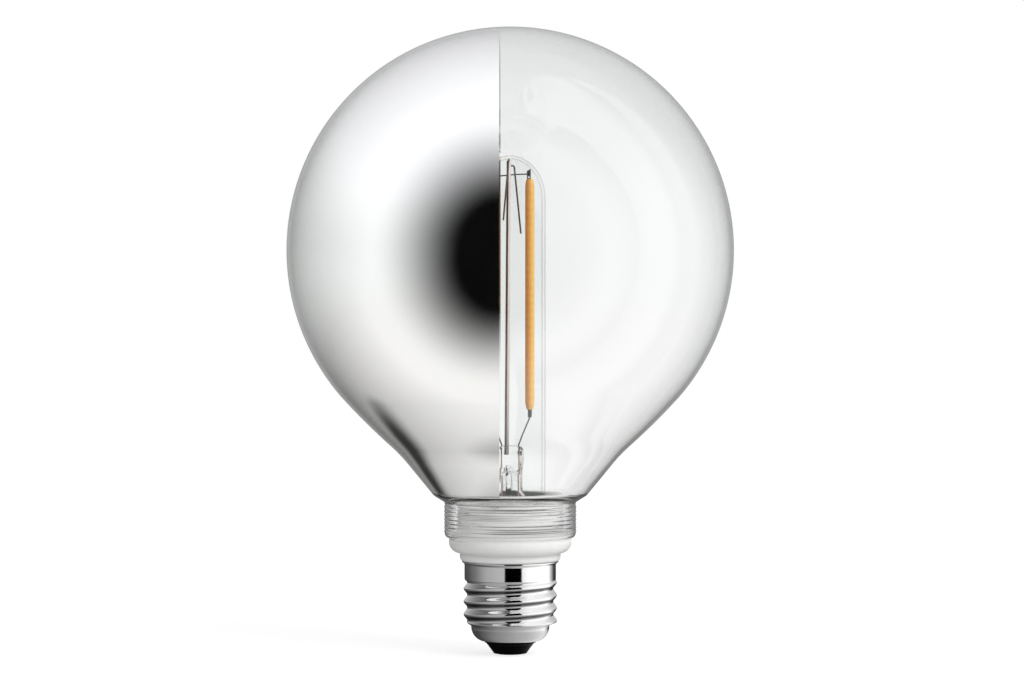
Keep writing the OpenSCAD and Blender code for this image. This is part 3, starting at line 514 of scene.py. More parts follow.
def turned(name, outline, material, segments=192, crease=35.0):
    """A closed outline of (radius, height) points, turned round Z. It runs anticlockwise."""
    points, rows = [], []
    for r, z in outline:
        if r < 1e-9:
            rows.append([len(points)] * segments)
            points.append((0.0, 0.0, z))
            continue
        rows.append(list(range(len(points), len(points) + segments)))
        for k in range(segments):
            a = TURN * k / segments
            points.append((r * math.cos(a), r * math.sin(a), z))
    faces = []
    for lower, upper in zip(rows, rows[1:] + rows[:1]):
        for k in range(segments):
            n = (k + 1) % segments
            corners = []
            for c in (lower[k], lower[n], upper[n], upper[k]):
                if c not in corners:
                    corners.append(c)
            if len(corners) > 2:
                faces.append(corners)
    return solid(name, points, faces, material, crease)


def arc(centre, half_axes, start, end, steps):
    """Points of an ellipse round a centre, between two angles in degrees."""
    for i in range(steps + 1):
        a = math.radians(start + (end - start) * i / steps)
        yield (centre[0] + half_axes[0] * math.cos(a), centre[1] + half_axes[1] * math.sin(a))


def eased(path, steps=10):
    """A path of (x, y, radius) corners, with an arc in each corner that has a radius."""
    points = []
    for i, (x, y, radius) in enumerate(path):
        if radius <= 0:
            points.append((x, y))
            continue
        here = Vector((x, y))
        back = (Vector(path[i - 1][:2]) - here).normalized()
        ahead = (Vector(path[i + 1][:2]) - here).normalized()
        half = back.angle(ahead) / 2
        centre = here + (back + ahead).normalized() * radius / math.sin(half)
        arm = here + back * radius / math.tan(half) - centre
        sweep = math.pi - 2 * half
        sweep *= -1 if back.cross(ahead) > 0 else 1
        for k in range(steps + 1):
            a = sweep * k / steps
            c, s = math.cos(a), math.sin(a)
            points.append((centre.x + arm.x * c - arm.y * s, centre.y + arm.x * s + arm.y * c))
    return points


def moved(path, by):
    """The same path of corners, moved to the left of its run."""
    out = []
    for i, (x, y, radius) in enumerate(path):
        a, b = max(i, 1), min(i, len(path) - 2)
        first = (Vector(path[a][:2]) - Vector(path[a - 1][:2])).normalized()
        second = (Vector(path[b + 1][:2]) - Vector(path[b][:2])).normalized()
        n1, n2 = Vector((-first.y, first.x)), Vector((-second.y, second.x))
        shift = (n1 + n2) / (1 + n1.dot(n2)) * by
        turn = n1.cross(n2)
        if radius > 0:
            radius -= math.copysign(by, turn) if turn else 0.0
        out.append((x + shift.x, y + shift.y, radius))
    return out


def merged(mesh, distance, outward=False):
    """Merges a mesh's doubled points and, if asked, turns its faces outwards."""
    work = bmesh.new()
    work.from_mesh(mesh)
    bmesh.ops.remove_doubles(work, verts=work.verts, dist=distance)
    if outward:
        bmesh.ops.recalc_face_normals(work, faces=work.faces)
    work.to_mesh(mesh)
    work.free()


def copied(name, node, material, crease=35.0):
    """A smooth, merged copy of a frame node that stands for it."""
    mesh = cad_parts[node].data.copy()
    mesh.name = name
    merged(mesh, 1e-7)
    mesh.materials.clear()
    mesh.materials.append(material)
    mesh.shade_smooth()
    mesh.set_sharp_from_angle(angle=math.radians(crease))
    piece = bpy.data.objects.new(name, mesh)
    bpy.context.scene.collection.objects.link(piece)
    settle(piece, node)
    return piece


def settle(piece, *nodes):
    """Rides a finished piece on the lamp in place of its nodes."""
    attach(piece, ROOT)
    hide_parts(*nodes)


def dress(material, *nodes):
    """Gives frame nodes a finish."""
    for node in nodes:
        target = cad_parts[node]
        if not target.material_slots:
            raise ValueError("no material slot on " + node)
        for entry in target.material_slots:
            entry.material = material


def globe_outline(g, depth, step=2.0):
    """The globe's outline at a depth under its surface, from its top down, and the path's last corners."""
    top = high("outer_globe").z
    foot = low("outer_globe").z
    neck_top = foot + g.neck_h
    neck_r = g.neck_d / 2
    radius = g.diameter / 2
    skirt_dir = Vector((math.sin(g.skirt_slope), math.cos(g.skirt_slope)))
    leave_dir = Vector((math.sin(g.skirt_latitude), math.cos(g.skirt_latitude)))
    leave_x = radius * math.cos(g.skirt_latitude)
    ease = g.skirt_ease * g.diameter
    shoulder = Vector((neck_r + g.shoulder_reach, neck_top + g.shoulder_h))
    spread = g.throat_share * (leave_x - shoulder.x)
    throat = shoulder + Vector((spread, spread / math.tan(g.throat_slope)))
    skirt = throat + skirt_dir * ((leave_x - ease * leave_dir.x - throat.x) / skirt_dir.x)
    leave = skirt + leave_dir * ease
    ease_r = ease / math.tan((g.skirt_slope - g.skirt_latitude) / 2)
    path = [
        (*(leave + leave_dir * MM), 0.0),
        (*skirt, ease_r),
        (*throat, 0.36 * g.diameter),
        (*shoulder, 3 * MM),
        (neck_r, neck_top, 0.8 * MM),
        (neck_r, foot, 0.0),
    ]
    if depth:
        path = moved(path, -depth)
        inner = neck_r - g.neck_wall + g.wall - depth
        path[4] = (inner, neck_top + g.neck_wall - g.wall, 0.8 * MM)
        path[5] = (inner, foot, 0.0)
    centre = top - radius
    last = 90 + math.degrees(g.skirt_latitude)
    count = round(last / step)
    dome = [
        ((radius - depth) * math.sin(math.radians(last * i / count)),
         centre + (radius - depth) * math.cos(math.radians(last * i / count)))
        for i in range(count)
    ]
    return dome, eased(path)[1:]


def ridged_neck(g):
    """The neck's fine ridges, from the top down, and the rounded foot of the glass."""
    foot = low("outer_globe").z
    neck_r = g.neck_d / 2
    top, bottom = foot + g.neck_h - 0.8 * MM, foot + 1.2 * MM
    ring_steps = 8
    steps = ring_steps * g.ridges
    points = []
    for i in range(steps + 1):
        wave = 0.5 - 0.5 * math.cos(TURN * i / ring_steps)
        points.append((neck_r + g.ridge_h * wave ** 1.4, top + (bottom - top) * i / steps))
    points += list(arc((neck_r - 1.2 * MM, bottom), (1.2 * MM, 1.2 * MM), -12, -90, 6))
    return points


def node_tree(name, inputs):
    """A geometry tree with named inputs. It gives back the tree, its input node and its output node."""
    tree = bpy.data.node_groups.new(name, "GeometryNodeTree")
    tree.interface.new_socket("Geometry", in_out="INPUT", socket_type="NodeSocketGeometry")
    for label, kind, value in inputs:
        socket = tree.interface.new_socket(label, in_out="INPUT", socket_type=kind)
        if value is not None:
            socket.default_value = value
    tree.interface.new_socket("Geometry", in_out="OUTPUT", socket_type="NodeSocketGeometry")
    return tree, tree.nodes.new("NodeGroupInput"), tree.nodes.new("NodeGroupOutput")


def apply_tree(piece, tree, values):
    """Runs a geometry tree on an object and gives back a plain mesh object of the same name."""
    modifier = piece.modifiers.new("Form", "NODES")
    modifier.node_group = tree
    for item in tree.interface.items_tree:
        if item.item_type == "SOCKET" and item.in_out == "INPUT" and item.name in values:
            modifier[item.identifier] = values[item.name]
    graph = bpy.context.evaluated_depsgraph_get()
    mesh = bpy.data.meshes.new_from_object(piece.evaluated_get(graph))
    name = piece.name
    piece.modifiers.remove(modifier)
    bpy.data.objects.remove(piece)
    mesh.name = name
    plain = bpy.data.objects.new(name, mesh)
    bpy.context.scene.collection.objects.link(plain)
    return plain


def finished(s, last, source, result):
    """Ends a geometry tree in real geometry with its finish."""
    real = s.add("GeometryNodeRealizeInstances", {"Geometry": last.outputs[0]})
    finish = s.add(
        "GeometryNodeSetMaterial", {"Geometry": real.outputs[0], "Material": source.outputs["Finish"]}
    )
    s.tree.links.new(finish.outputs[0], result.inputs[0])
    return s.tree


def bent_wire_tree():
    """A round wire along a curve, with rounded bends and closed ends."""
    tree, source, result = node_tree(
        "Bent wire",
        [
            ("Wire radius", "NodeSocketFloat", 0.0002),
            ("Bend radius", "NodeSocketFloat", 0.0006),
            ("Sides", "NodeSocketInt", 16),
            ("Finish", "NodeSocketMaterial", None),
        ],
    )
    s = Shader("", tree)
    fillet = s.add(
        "GeometryNodeFilletCurve",
        {"Curve": source.outputs["Geometry"], "Radius": source.outputs["Bend radius"], "Count": 8},
        mode="POLY",
    )
    ring = s.add(
        "GeometryNodeCurvePrimitiveCircle",
        {"Radius": source.outputs["Wire radius"], "Resolution": source.outputs["Sides"]},
    )
    tube = s.add(
        "GeometryNodeCurveToMesh",
        {"Curve": fillet.outputs[0], "Profile Curve": ring.outputs[0], "Fill Caps": True},
    )
    smooth = s.add("GeometryNodeSetShadeSmooth", {"Geometry": tube.outputs[0]})
    return finished(s, smooth, source, result)


def bent_wire(name, path, diameter, material, node):
    """A wire piece along a path, in place of its node."""
    tree = bpy.data.node_groups.get("Bent wire") or bent_wire_tree()
    line = bpy.data.curves.new(name, "CURVE")
    line.dimensions = "3D"
    spline = line.splines.new("POLY")
    spline.points.add(len(path) - 1)
    for point, place in zip(spline.points, path):
        point.co = (*place, 1.0)
    piece = bpy.data.objects.new(name, line)
    bpy.context.scene.collection.objects.link(piece)
    piece = apply_tree(
        piece, tree,
        {"Wire radius": diameter / 2, "Bend radius": settings().wires.bend, "Finish": material},
    )
    settle(piece, node)
    return piece


def thread_tree():
    """Lifts the skin of a turned shell into a right-hand round thread."""
    tree, source, result = node_tree(
        "Round thread",
        [
            ("Depth", "NodeSocketFloat", 0.001),
            ("Pitch", "NodeSocketFloat", 0.0036),
            ("Start", "NodeSocketFloat", 0.008),
            ("Phase", "NodeSocketFloat", 0.0),
            ("Run", "NodeSocketFloat", 0.013),
            ("Fade", "NodeSocketFloat", 0.0012),
            ("Finish", "NodeSocketMaterial", None),
        ],
    )
    s = Shader("", tree)
    place = s.add("GeometryNodeInputPosition").outputs[0]
    place = s.split(place)
    start, phase, pitch = (source.outputs[word] for word in ("Start", "Phase", "Pitch"))
    rise, wave = thread_angle(s, place, start, phase, pitch)
    wave = s.math("MULTIPLY_ADD", s.math("COSINE", wave), 0.5, 0.5)
    left = s.math("SUBTRACT", source.outputs["Run"], rise)
    inside = s.math("DIVIDE", s.math("MINIMUM", rise, left), source.outputs["Fade"])
    lift = s.times(s.times(wave, s.ramp(inside, 0.0, 1.0)), source.outputs["Depth"])
    flat = s.add("ShaderNodeCombineXYZ", {0: place[0], 1: place[1], 2: 0.0}).outputs[0]
    shift = s.vector("SCALE", {0: s.vector("NORMALIZE", {0: flat}), "Scale": lift})
    form = s.add("GeometryNodeSetPosition", {"Geometry": source.outputs["Geometry"], "Offset": shift})
    return finished(s, form, source, result)


class LAMP_OT_globe(bpy.types.Operator):
    """Blow the clear globe with its ridged neck"""

    bl_idname = "lamp.globe"
    bl_label = "Globe"

    def execute(self, context):
        g = settings().globe
        glass = glass_finish("Clear globe glass", settings().colours.glass)
        dome, skirt = globe_outline(g, 0.0)
        inner_dome, inner_skirt = globe_outline(g, g.wall)
        outside = dome + skirt[:-1] + ridged_neck(g)
        inside = inner_dome + inner_skirt
        outline = list(reversed(outside)) + inside
        settle(turned("globe_glass", outline, glass, 216, 60.0), "outer_globe")
        return {"FINISHED"}


class LAMP_OT_mirror(bpy.types.Operator):
    """Lay the silver film inside the globe's left side"""

    bl_idname = "lamp.mirror"
    bl_label = "Mirror film"

    def execute(self, context):
        g = settings().globe
        film = film_finish("Silver film", tuple(settings().colours.film), low("mirror_coating").z)
        columns = 96
        skins = []
        for depth in (g.wall + PLAY, g.wall + PLAY + g.mirror_t):
            dome, skirt = globe_outline(g, depth, 1.5)
            line = [p for p in dome + skirt if p[0] > g.mirror_edge + MM]
            foot = low("mirror_coating").z + (depth - g.wall) * 0.1
            line = [p for p in line if p[1] > foot] + [(line[-1][0], foot)]
            radius = g.diameter / 2 - depth
            start = math.asin(g.mirror_edge / radius)
            centre = high("outer_globe").z - g.diameter / 2
            line.insert(0, (g.mirror_edge, centre + radius * math.cos(start)))
            skins.append(line)
        points = []
        for line in skins:
            for r, z in line:
                half = math.acos(min(1.0, g.mirror_edge / r))
                for k in range(columns + 1):
                    a = math.pi + half * (2 * k / columns - 1)
                    points.append((r * math.cos(a), r * math.sin(a), z))
        rows, width = len(skins[0]), columns + 1
        inner = rows * width
        faces = []
        for i in range(rows - 1):
            for k in range(columns):
                a = i * width + k
                faces.append((a, a + width, a + width + 1, a + 1))
                faces.append((inner + a, inner + a + 1, inner + a + width + 1, inner + a + width))
            for k in (0, columns):
                a = i * width + k
                edge = (a, inner + a, inner + a + width, a + width)
                faces.append(edge if k == 0 else tuple(reversed(edge)))
        for k in range(columns):
            a = (rows - 1) * width + k
            faces.append((a, inner + a, inner + a + 1, a + 1))
        piece = solid("mirror_film", points, faces, film, 60.0)
        merged(piece.data, 1e-8, True)
        settle(piece, "mirror_coating")
        return {"FINISHED"}


class LAMP_OT_inner_tube(bpy.types.Operator):
    """Close the inner tube over its stem, and set its cement"""

    bl_idname = "lamp.inner_tube"
    bl_label = "Inner tube and stem"

    def execute(self, context):
        w = settings().wires
        colour = settings().colours.glass
        glass = thin_glass_finish("Clear tube glass", colour)
        foot, top = low("inner_tube").z, high("inner_tube").z
        outer = high("inner_tube").x
        inner = outer - w.tube_wall
        centre = (0.0, top - w.tube_dome_h)
        outline = [(inner, foot), (outer, foot)]
        outline += list(arc(centre, (outer, w.tube_dome_h), 0, 89.9, 28)) + [(0.0, top)]
        outline += [(0.0, top - w.tube_wall)]
        outline += list(arc(centre, (inner, w.tube_dome_h - w.tube_wall), 89.9, 0, 28))
        settle(turned("tube_glass", outline, glass, 128, 50.0), "inner_tube")
        stem = glass_finish("Stem glass", colour, 1.22, 0.01 * MM)
        copied("stem_glass", "stem", stem, 40.0)
        copied("exhaust_glass", "exhaust_tube", glass_finish("Exhaust glass", colour, 1.12))
        dress(plain_finish("White cement", (0.72, 0.72, 0.69), 0.8, 0.12, 900.0, 0.03 * MM), "tube_cement")
        dress(ring_reflection_finish("Cement with painted ring reflections", (0.74, 0.74, 0.73)), "globe_cement")
        return {"FINISHED"}


class LAMP_OT_filaments(bpy.types.Operator):
    """Coat the filaments and finish their strips, chips, tabs and post"""

    bl_idname = "lamp.filaments"
    bl_label = "Filaments and post"

    def execute(self, context):
        look = settings().colours
        for side, word in ((-1, "left"), (1, "right")):
            finish = phosphor_finish("Phosphor " + word, side, look)
            copied("phosphor_" + word, "filament_coat_" + word, finish)
        strip = plain_finish("Strip ceramic", (0.72, 0.68, 0.58), 0.5)
        chip = plain_finish("Light chips", (0.75, 0.62, 0.16), 0.3, 0.1, 900.0, 0.0, 0.4)
        dress(strip, "filament_strip_left", "filament_strip_right")
        dress(chip, "light_chips_left", "light_chips_right")
        tab = metal_finish("Tab sheet", (0.20, 0.19, 0.185), 0.4, 0.002 * MM, 2500.0)
        dress(tab, "top_tab_left", "top_tab_right", "bottom_tab_left", "bottom_tab_right")
        foot, top = low("support_post"), high("support_post")
        foot = Vector((foot.x + POST_R, 0.0, foot.z))
        top = Vector((top.x - POST_R, 0.0, top.z))
        copied("post_rod", "support_post", post_finish("Post glass", foot, top), 50.0)
        return {"FINISHED"}


class LAMP_OT_wires(bpy.types.Operator):
    """Bend the spring anchor, the bridge and the leads"""

    bl_idname = "lamp.wires"
    bl_label = "Wires"

    def execute(self, context):
        w = settings().wires
        look = settings().colours
        dull = metal_finish("Dull wire", tuple(look.wire), 0.42, 0.001 * MM, 3000.0)
        copper = metal_finish("Copper wire", tuple(look.copper), 0.35, 0.001 * MM, 3000.0)
        self.anchor(w, dull)
        self.bridge(w, dull)
        self.leads(w, dull, copper)
        dress(copper, "seal_lead_left", "seal_lead_right")
        red = plain_finish("Red insulation", (0.42, 0.02, 0.015), 0.45)
        blue = plain_finish("Blue insulation", (0.02, 0.06, 0.32), 0.45)
        dress(red, "live_wire")
        dress(blue, "neutral_wire")
        return {"FINISHED"}

    def anchor(self, w, material):
        """The spring wire over the post's end."""
        x = high("support_post").x - POST_R
        side = POST_R + w.anchor_d / 2 + PLAY
        inset = w.tube_wall + w.anchor_d / 2 + 0.1 * MM
        apex = high("inner_tube").z - inset
        wall = high("inner_tube").x - inset
        left, right, arch = -1.9 * MM, 3.0 * MM, 1.8 * MM
        path = [
            (left, -math.sqrt(wall**2 - left**2), apex - w.anchor_leg),
            (x, -side, apex),
            (x + 0.1 * MM, side, apex - PLAY),
            (x + w.anchor_d, 2 * side, apex - arch),
            (x + 3 * w.anchor_d, 2.5 * side, apex - 0.9 * arch),
            (right, math.sqrt(wall**2 - right**2), apex - w.anchor_leg - 2 * arch),
        ]
        bent_wire("spring_wire", path, w.anchor_d, material, "spring_anchor")

    def bridge(self, w, material):
        """The wire behind the post, from tab to tab."""
        a, b = low("bridge_wire"), high("bridge_wire")
        far = POST_R + w.bridge_d / 2 + PLAY
        near = TAB_T + w.bridge_d / 2 + PLAY
        z_left, z_right = a.z + w.bridge_d / 2, b.z - w.bridge_d / 2
        path = [
            (a.x, near, z_left),
            (-4 * POST_R, far, z_left),
            (2 * POST_R, far, z_right - (z_right - z_left) / 4),
            (b.x, near, z_right),
        ]
        bent_wire("bridge_piece", path, w.bridge_d, material, "bridge_wire")

    def leads(self, w, dull, copper):
        """The inner leads and the copper wires down to the board."""
        tab_low = low("bottom_tab_right").z
        press = high("stem").z
        flare = low("stem").z
        board = high("driver_board").z
        end = high("inner_lead_right")
        weld = low("seal_lead_right").z
        seal = high("seal_lead_right").z
        y = -(TAB_T + w.lead_d / 2 + PLAY)
        middle = (w.filament_reach + w.lead_reach) / 2 - 0.5 * MM
        pad_y = -0.52 * MM - w.lead_d / 2
        for side, word in ((-1, "left"), (1, "right")):
            inner = [
                (side * w.filament_reach, y, end.z),
                (side * w.filament_reach, y, tab_low),
                (side * middle, y / 2, (tab_low + press) / 2 - MM),
                (side * w.lead_reach, 0.0, press),
                (side * w.lead_reach, 0.0, seal + PLAY),
            ]
            bent_wire("inner_wire_" + word, inner, w.lead_d, dull, "inner_lead_" + word)
            outer = [
                (side * w.lead_reach, 0.0, weld - PLAY),
                (side * w.lead_reach, 0.0, flare + 4.6 * MM),
                (side * w.lead_reach, 0.0, flare - 4.0 * MM),
                (side * 4 * MM, pad_y, board + 2 * MM),
                (side * 4 * MM, pad_y, board - MM),
            ]
            bent_wire("outer_wire_" + word, outer, w.lead_d, copper, "outer_lead_" + word)


class LAMP_OT_collar(bpy.types.Operator):
    """Mould the white collar"""

    bl_idname = "lamp.collar"
    bl_label = "Collar"

    def execute(self, context):
        white = plain_finish(
            "White collar plastic", tuple(settings().colours.collar), 0.38, 0.03, 500.0, 0.004 * MM
        )
        piece = copied("white_collar", "collar", white, 30.0)
        # The plug's sides take the rings with their painted reflections.
        ringed = ring_reflection_finish("Plug plastic with painted ring reflections", tuple(settings().colours.collar))
        piece.data.materials.append(ringed)
        foot = low("outer_globe").z + 0.4 * MM
        for face in piece.data.polygons:
            if face.center.z > foot and abs(face.normal.z) < 0.5:
                face.material_index = 1
        return {"FINISHED"}


class LAMP_OT_screw_cap(bpy.types.Operator):
    """Press the screw shell, and set its insulator and contact"""

    bl_idname = "lamp.screw_cap"
    bl_label = "Screw cap"

    def execute(self, context):
        c = settings().cap
        look = settings().colours
        nickel = nickel_finish("Bright nickel", tuple(look.nickel), c)
        shell = turned("nickel_shell", self.outline(c), nickel, 160, 40.0)
        shell = apply_tree(
            shell, thread_tree(),
            {
                "Depth": (c.crest_d - c.root_d) / 2,
                "Pitch": c.pitch,
                "Start": c.start,
                "Phase": c.phase,
                "Run": c.run,
                "Fade": c.fade,
                "Finish": nickel,
            },
        )
        settle(shell, "screw_shell")
        black = plain_finish("Black insulator", tuple(look.insulator), 0.35, 0.3, 200.0, 0.0, 0.0, 0.03)
        copied("black_insulator", "base_insulator", black, 30.0)
        brass = metal_finish("Tinned contact", (0.52, 0.47, 0.36), 0.3, 0.002 * MM, 1500.0)
        copied("contact_disc", "centre_contact", brass, 30.0)
        return {"FINISHED"}

    def outline(self, c):
        """The shell's outline at the thread's roots, up the outside and down the inside."""
        top = high("screw_shell").z
        root, band, mouth = c.root_d / 2, c.band_d / 2, c.mouth_d / 2
        dome = root - c.dome_inset
        end = c.start + c.run
        steps, dome_steps = 108, 12

        def curve(count, inset):
            """The dome's quarter round from the mouth, set in from the outside."""
            for i in range(count):
                a = math.pi / 2 * i / dome_steps
                reach, rise = dome - mouth - inset, c.start - c.edge_h - inset
                yield (mouth + reach * math.sin(a), c.edge_h + inset + rise * (1 - math.cos(a)))

        outside = list(curve(dome_steps + 1, 0.0))
        for i in range(1, steps):
            z = c.start + c.run * i / steps
            outside.append((self.skin(c, z, dome, root, band), z))
        outside += [(band, end), (band, end + 0.3 * MM), (band, top - c.wall - c.lip - 0.3 * MM)]
        outside += [(band, top - c.wall - c.lip)]
        outside += [(band + c.lip * 0.5, top - c.wall - c.lip * 0.25), (band + c.lip, top - c.wall)]
        inside = [(band + c.lip, top), (band + c.lip / 4, top - c.lip / 8), (band - c.wall, top - c.lip)]
        inside += [(r - c.wall, z) for r, z in reversed(outside[dome_steps : dome_steps + steps + 1])]
        return outside + inside + list(reversed(list(curve(dome_steps, c.wall))))

    def skin(self, c, z, dome, root, band):
        """Radius of the shell's roots at a height: from the dome in, and to the band out."""
        near = min(z - c.start, c.start + c.run - z) / c.fade
        share = min(max(near, 0.0), 1.0)
        share = share * share * (3 - 2 * share)
        end = dome if z - c.start < c.run / 2 else band
        return end * (1 - share) + root * share


class LAMP_OT_driver(bpy.types.Operator):
    """Finish the driver's board and its parts"""

    bl_idname = "lamp.driver"
    bl_label = "Driver"

    def execute(self, context):
        board = plain_finish("Green board", (0.03, 0.16, 0.07), 0.35, 0.25, 700.0, 0.01 * MM, 0.3)
        dress(board, "driver_board")
        sleeve = plain_finish("Blue sleeve", (0.02, 0.03, 0.14), 0.3, 0.1, 400.0, 0.0, 0.3)
        dress(sleeve, "smoothing_capacitor")
        dress(plain_finish("Ferrite", (0.03, 0.03, 0.035), 0.6, 0.3, 900.0, 0.02 * MM), "choke")
        package = plain_finish("Black package", (0.02, 0.02, 0.02), 0.55, 0.2, 900.0, 0.01 * MM)
        dress(package, "bridge_rectifier", "driver_chip")
        dress(plain_finish("Resistor lacquer", (0.62, 0.54, 0.40), 0.35, 0.1, 500.0), "fuse_resistor")
        return {"FINISHED"}


def studio_light(s, direction, place=None):
    """What the mirror reflects: a dark card in front, pale walls, and a floor that darkens to the back."""
    y, z = s.split(direction)[1:]
    angle = s.math("DEGREES", s.math("ARCCOSINE", s.times(y, -1.0)))
    level = s.ramp(angle, 78.0, 152.0, 1.02, 0.47, smooth=False)
    if place is None:
        high = s.ramp(angle, 90.0, 160.0, 1.13, 0.68, smooth=False)
        level = s.blend(s.ramp(z, 0.0, 0.5), level, high)
        hue = s.mix(s.ramp(z, 0.05, 0.6), (0.985, 1.0, 0.985), (0.985, 0.98, 1.0))
    else:
        patch = s.vector("DISTANCE", {0: place, 1: DARK_PATCH}, "Value")
        near = s.vector("LENGTH", {0: place}, "Value")
        ground = s.ramp(angle, 85.0, 150.0, 0.99, 0.24, smooth=False)
        ground = s.times(ground, s.ramp(patch, 8 * MM, 46 * MM, 0.10, 1.0))
        ground = s.times(ground, s.ramp(near, 18 * MM, 38 * MM, 0.45, 1.0))
        level = s.blend(s.ramp(z, -0.40, -0.03), ground, level)
        hue = s.mix(s.ramp(z, -0.5, -0.1), (1.0, 0.985, 0.965), (0.985, 1.0, 0.985))
    walls = s.vector("SCALE", {0: hue, "Scale": level})
    return s.mix(s.ramp(angle, 25.0, 76.0), (0.003, 0.003, 0.003), walls)


def cap_light(s, place, radius=None):
    """What the bright cap reflects, by bearing from the front and by height. A radius means the floor."""
    x, y, z = s.split(place)
    bearing = s.math("DEGREES", s.math("ARCTAN2", x, s.times(y, -1.0)))
    level = s.steps(bearing, -180.0, 180.0, WALLS)
    card = s.times(s.ramp(bearing, -15.0, -12.0), s.ramp(bearing, 27.0, 30.0, 1.0, 0.0))
    if radius is None:
        top = s.steps(bearing, -180.0, 180.0, CEILING)
        share = s.ramp(z, 0.12, 0.6)
        card = s.times(card, s.ramp(z, 0.88, 0.95, 1.0, 0.0))
    else:
        level = s.blend(s.ramp(radius, 0.27, 0.42), s.steps(bearing, -180.0, 180.0, FLOOR_ROUND), level)
        top = s.steps(bearing, -180.0, 180.0, FLOOR_UNDER)
        share = s.ramp(radius, 0.022, 0.050, 1.0, 0.0)
        card = s.times(card, s.ramp(radius, 0.040, 0.060))
    return s.times(s.blend(share, level, top), s.math("SUBTRACT", 1.0, card))


def by_ray(s, path, direct, through, mirrored, plated):
    """Gives each kind of ray its light: direct, through glass, off the mirror or off the cap."""
    mixed = s.over(path["Is Transmission Ray"], direct, through)
    clear = s.math("MAXIMUM", s.math("MINIMUM", path["Transmission Depth"], 1.0), path["Is Singular Ray"])
    shallow = s.math("LESS_THAN", path["Transmission Depth"], 6.5)
    deep = s.times(s.math("MINIMUM", path["Glossy Depth"], 1.0), shallow)
    return s.over(deep, mixed, s.over(clear, plated, mirrored))


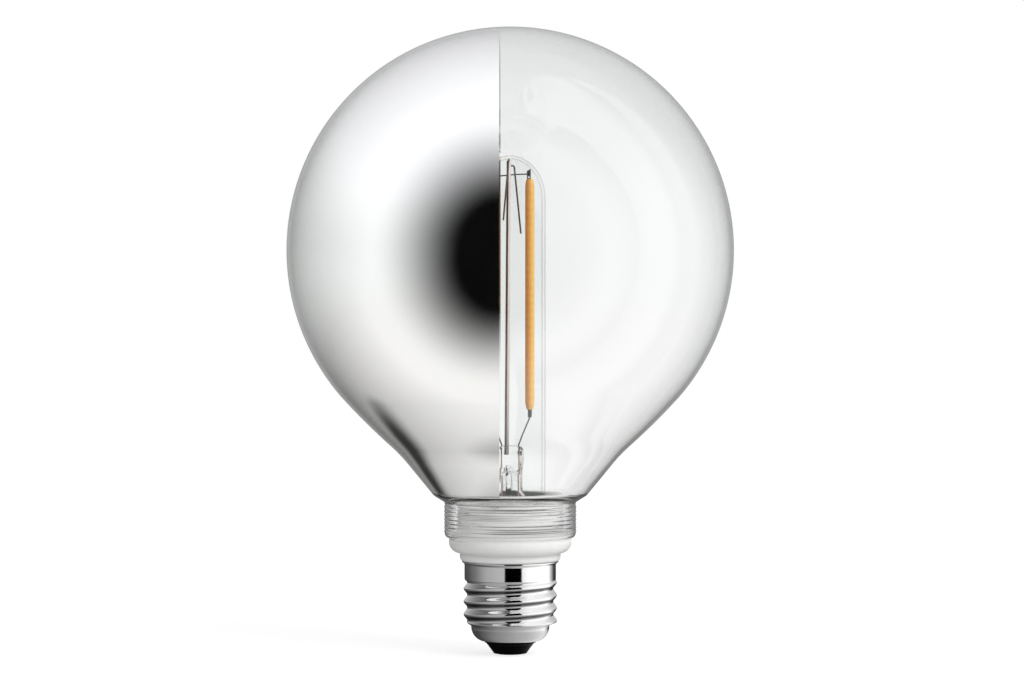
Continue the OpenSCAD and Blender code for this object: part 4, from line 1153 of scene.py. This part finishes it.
class LAMP_OT_stage(bpy.types.Operator):
    """Set the floor, the cards, the lights and the camera"""

    bl_idname = "lamp.stage"
    bl_label = "Stage"

    def execute(self, context):
        look = settings().stage
        scene = context.scene
        scene.view_settings.view_transform = "Standard"
        self.floor()
        self.world(scene, look)
        self.lamp("key_light", (0.75, -0.8, 0.75), 0.7, look.key)
        self.lamp("fill_light", (-0.8, -0.7, 0.45), 0.8, look.fill)
        self.camera(scene, look)
        return {"FINISHED"}

    def floor(self):
        """A pale floor that looks white to the camera and keeps the lamp's shadow."""
        s = Shader("Pale floor")
        path = s.add("ShaderNodeLightPath").outputs
        place = s.spot()
        away = s.vector("SUBTRACT", {0: place, 1: FILM_POINT})
        away = s.vector("NORMALIZE", {0: away})
        radius = s.vector("LENGTH", {0: place}, "Value")
        tone = s.mix(s.grain(3.0), (0.78, 0.78, 0.78), (0.80, 0.80, 0.80))
        paper = s.add("ShaderNodeBsdfDiffuse", {"Color": tone}).outputs[0]
        pale = s.add("ShaderNodeBsdfDiffuse", {"Color": (0.34, 0.34, 0.34, 1.0)}).outputs[0]
        seen = s.add("ShaderNodeAddShader", {0: pale, 1: s.glow(0.76)}).outputs[0]
        direct = s.over(path["Is Camera Ray"], paper, seen)
        mirrored = s.glow(1.0, studio_light(s, away, place))
        light = by_ray(s, path, direct, s.glow(1.0), mirrored, s.glow(cap_light(s, place, radius)))
        corners = [(x * FLOOR_HALF, y * FLOOR_HALF, 0) for x, y in ((-1, -1), (1, -1), (1, 1), (-1, 1))]
        floor = solid("floor", corners, [(0, 1, 2, 3)], s.surface(light))
        floor.data.transform(Matrix.Translation((0.0, 0.0, low("centre_contact").z - PLAY)))

    def world(self, scene, look):
        """White to the camera and through the glass, and a soft studio in the mirror."""
        world = bpy.data.worlds.new("Studio")
        world.use_nodes = True
        world.node_tree.nodes.clear()
        s = Shader("Studio", world.node_tree)
        path = s.add("ShaderNodeLightPath").outputs
        direction = s.add("ShaderNodeTexCoord").outputs["Generated"]
        x, _y, z = s.split(direction)
        side = s.math("MULTIPLY_ADD", x, 0.75, s.times(z, 0.25))
        ambient = s.times(s.math("ADD", side, 1.0), look.ambient)
        kind = "Background"
        direct = s.over(path["Is Camera Ray"], s.glow(ambient, kind=kind), s.glow(1.0, kind=kind))
        through = s.glow(s.ramp(z, 0.0, 0.062, 1.0, 0.86), kind=kind)
        mirrored = s.glow(1.0, studio_light(s, direction), kind)
        plated = s.glow(cap_light(s, direction), kind=kind)
        light = by_ray(s, path, direct, through, mirrored, plated)
        s.add("ShaderNodeOutputWorld", {"Surface": light})
        scene.world = world

    def lamp(self, name, place, size, power):
        """A large soft lamp that faces the lamp and shows in no reflection."""
        data = bpy.data.lights.new(name, "AREA")
        data.shape = "DISK"
        data.size = size
        data.energy = power
        light = bpy.data.objects.new(name, data)
        light.location = place
        aim = Vector((0.0, 0.0, 0.06)) - Vector(place)
        light.rotation_euler = aim.to_track_quat("-Z", "Y").to_euler()
        light.visible_camera = False
        light.visible_glossy = False
        light.visible_transmission = False
        bpy.context.scene.collection.objects.link(light)

    def camera(self, scene, look):
        """A long lens level with the globe's middle."""
        data = bpy.data.cameras.new("camera")
        data.sensor_width = 36.0
        data.lens = look.lens
        data.clip_start = 0.05
        data.clip_end = 100.0
        camera = bpy.data.objects.new("camera", data)
        camera.location = (look.aim_x, -look.distance, look.eye_h)
        aim = Vector((look.aim_x, 0.0, look.aim_h)) - camera.location
        camera.rotation_euler = aim.to_track_quat("-Z", "Y").to_euler()
        scene.collection.objects.link(camera)
        scene.camera = camera


class LAMP_PT_panel(bpy.types.Panel):
    """Lists the lamp's pieces and sizes"""

    bl_idname = "LAMP_PT_panel"
    bl_label = "Globe lamp"
    bl_space_type = "VIEW_3D"
    bl_region_type = "UI"
    bl_category = "Lamp"

    def draw(self, context):
        layout = self.layout
        for operator in PIECES:
            layout.operator(operator.bl_idname)
        for group in ("globe", "wires", "cap", "colours", "stage"):
            box = layout.box()
            box.label(text=group.capitalize())
            values = getattr(context.scene.globe_lamp, group)
            for key in values.bl_rna.properties.keys():
                if key not in ("rna_type", "name"):
                    box.prop(values, key)


PIECES = (
    LAMP_OT_globe, LAMP_OT_mirror, LAMP_OT_inner_tube, LAMP_OT_filaments, LAMP_OT_wires,
    LAMP_OT_collar, LAMP_OT_screw_cap, LAMP_OT_driver, LAMP_OT_stage,
)
GROUPS = (GlobeSizes, WireSizes, CapSizes, LampColours, StageLooks, LampSettings)
CLASSES = GROUPS + PIECES + (LAMP_PT_panel,)


def register():
    for cls in CLASSES:
        bpy.utils.register_class(cls)
    bpy.types.Scene.globe_lamp = bpy.props.PointerProperty(
        type=LampSettings, name="Globe lamp", description="Sizes and finishes of the lamp"
    )


def unregister():
    del bpy.types.Scene.globe_lamp
    for cls in reversed(CLASSES):
        bpy.utils.unregister_class(cls)


def main():
    """Builds every piece."""
    register()
    bpy.ops.lamp.globe()
    bpy.ops.lamp.mirror()
    bpy.ops.lamp.inner_tube()
    bpy.ops.lamp.filaments()
    bpy.ops.lamp.wires()
    bpy.ops.lamp.collar()
    bpy.ops.lamp.screw_cap()
    bpy.ops.lamp.driver()
    bpy.ops.lamp.stage()


if __name__ == "__main__":
    main()
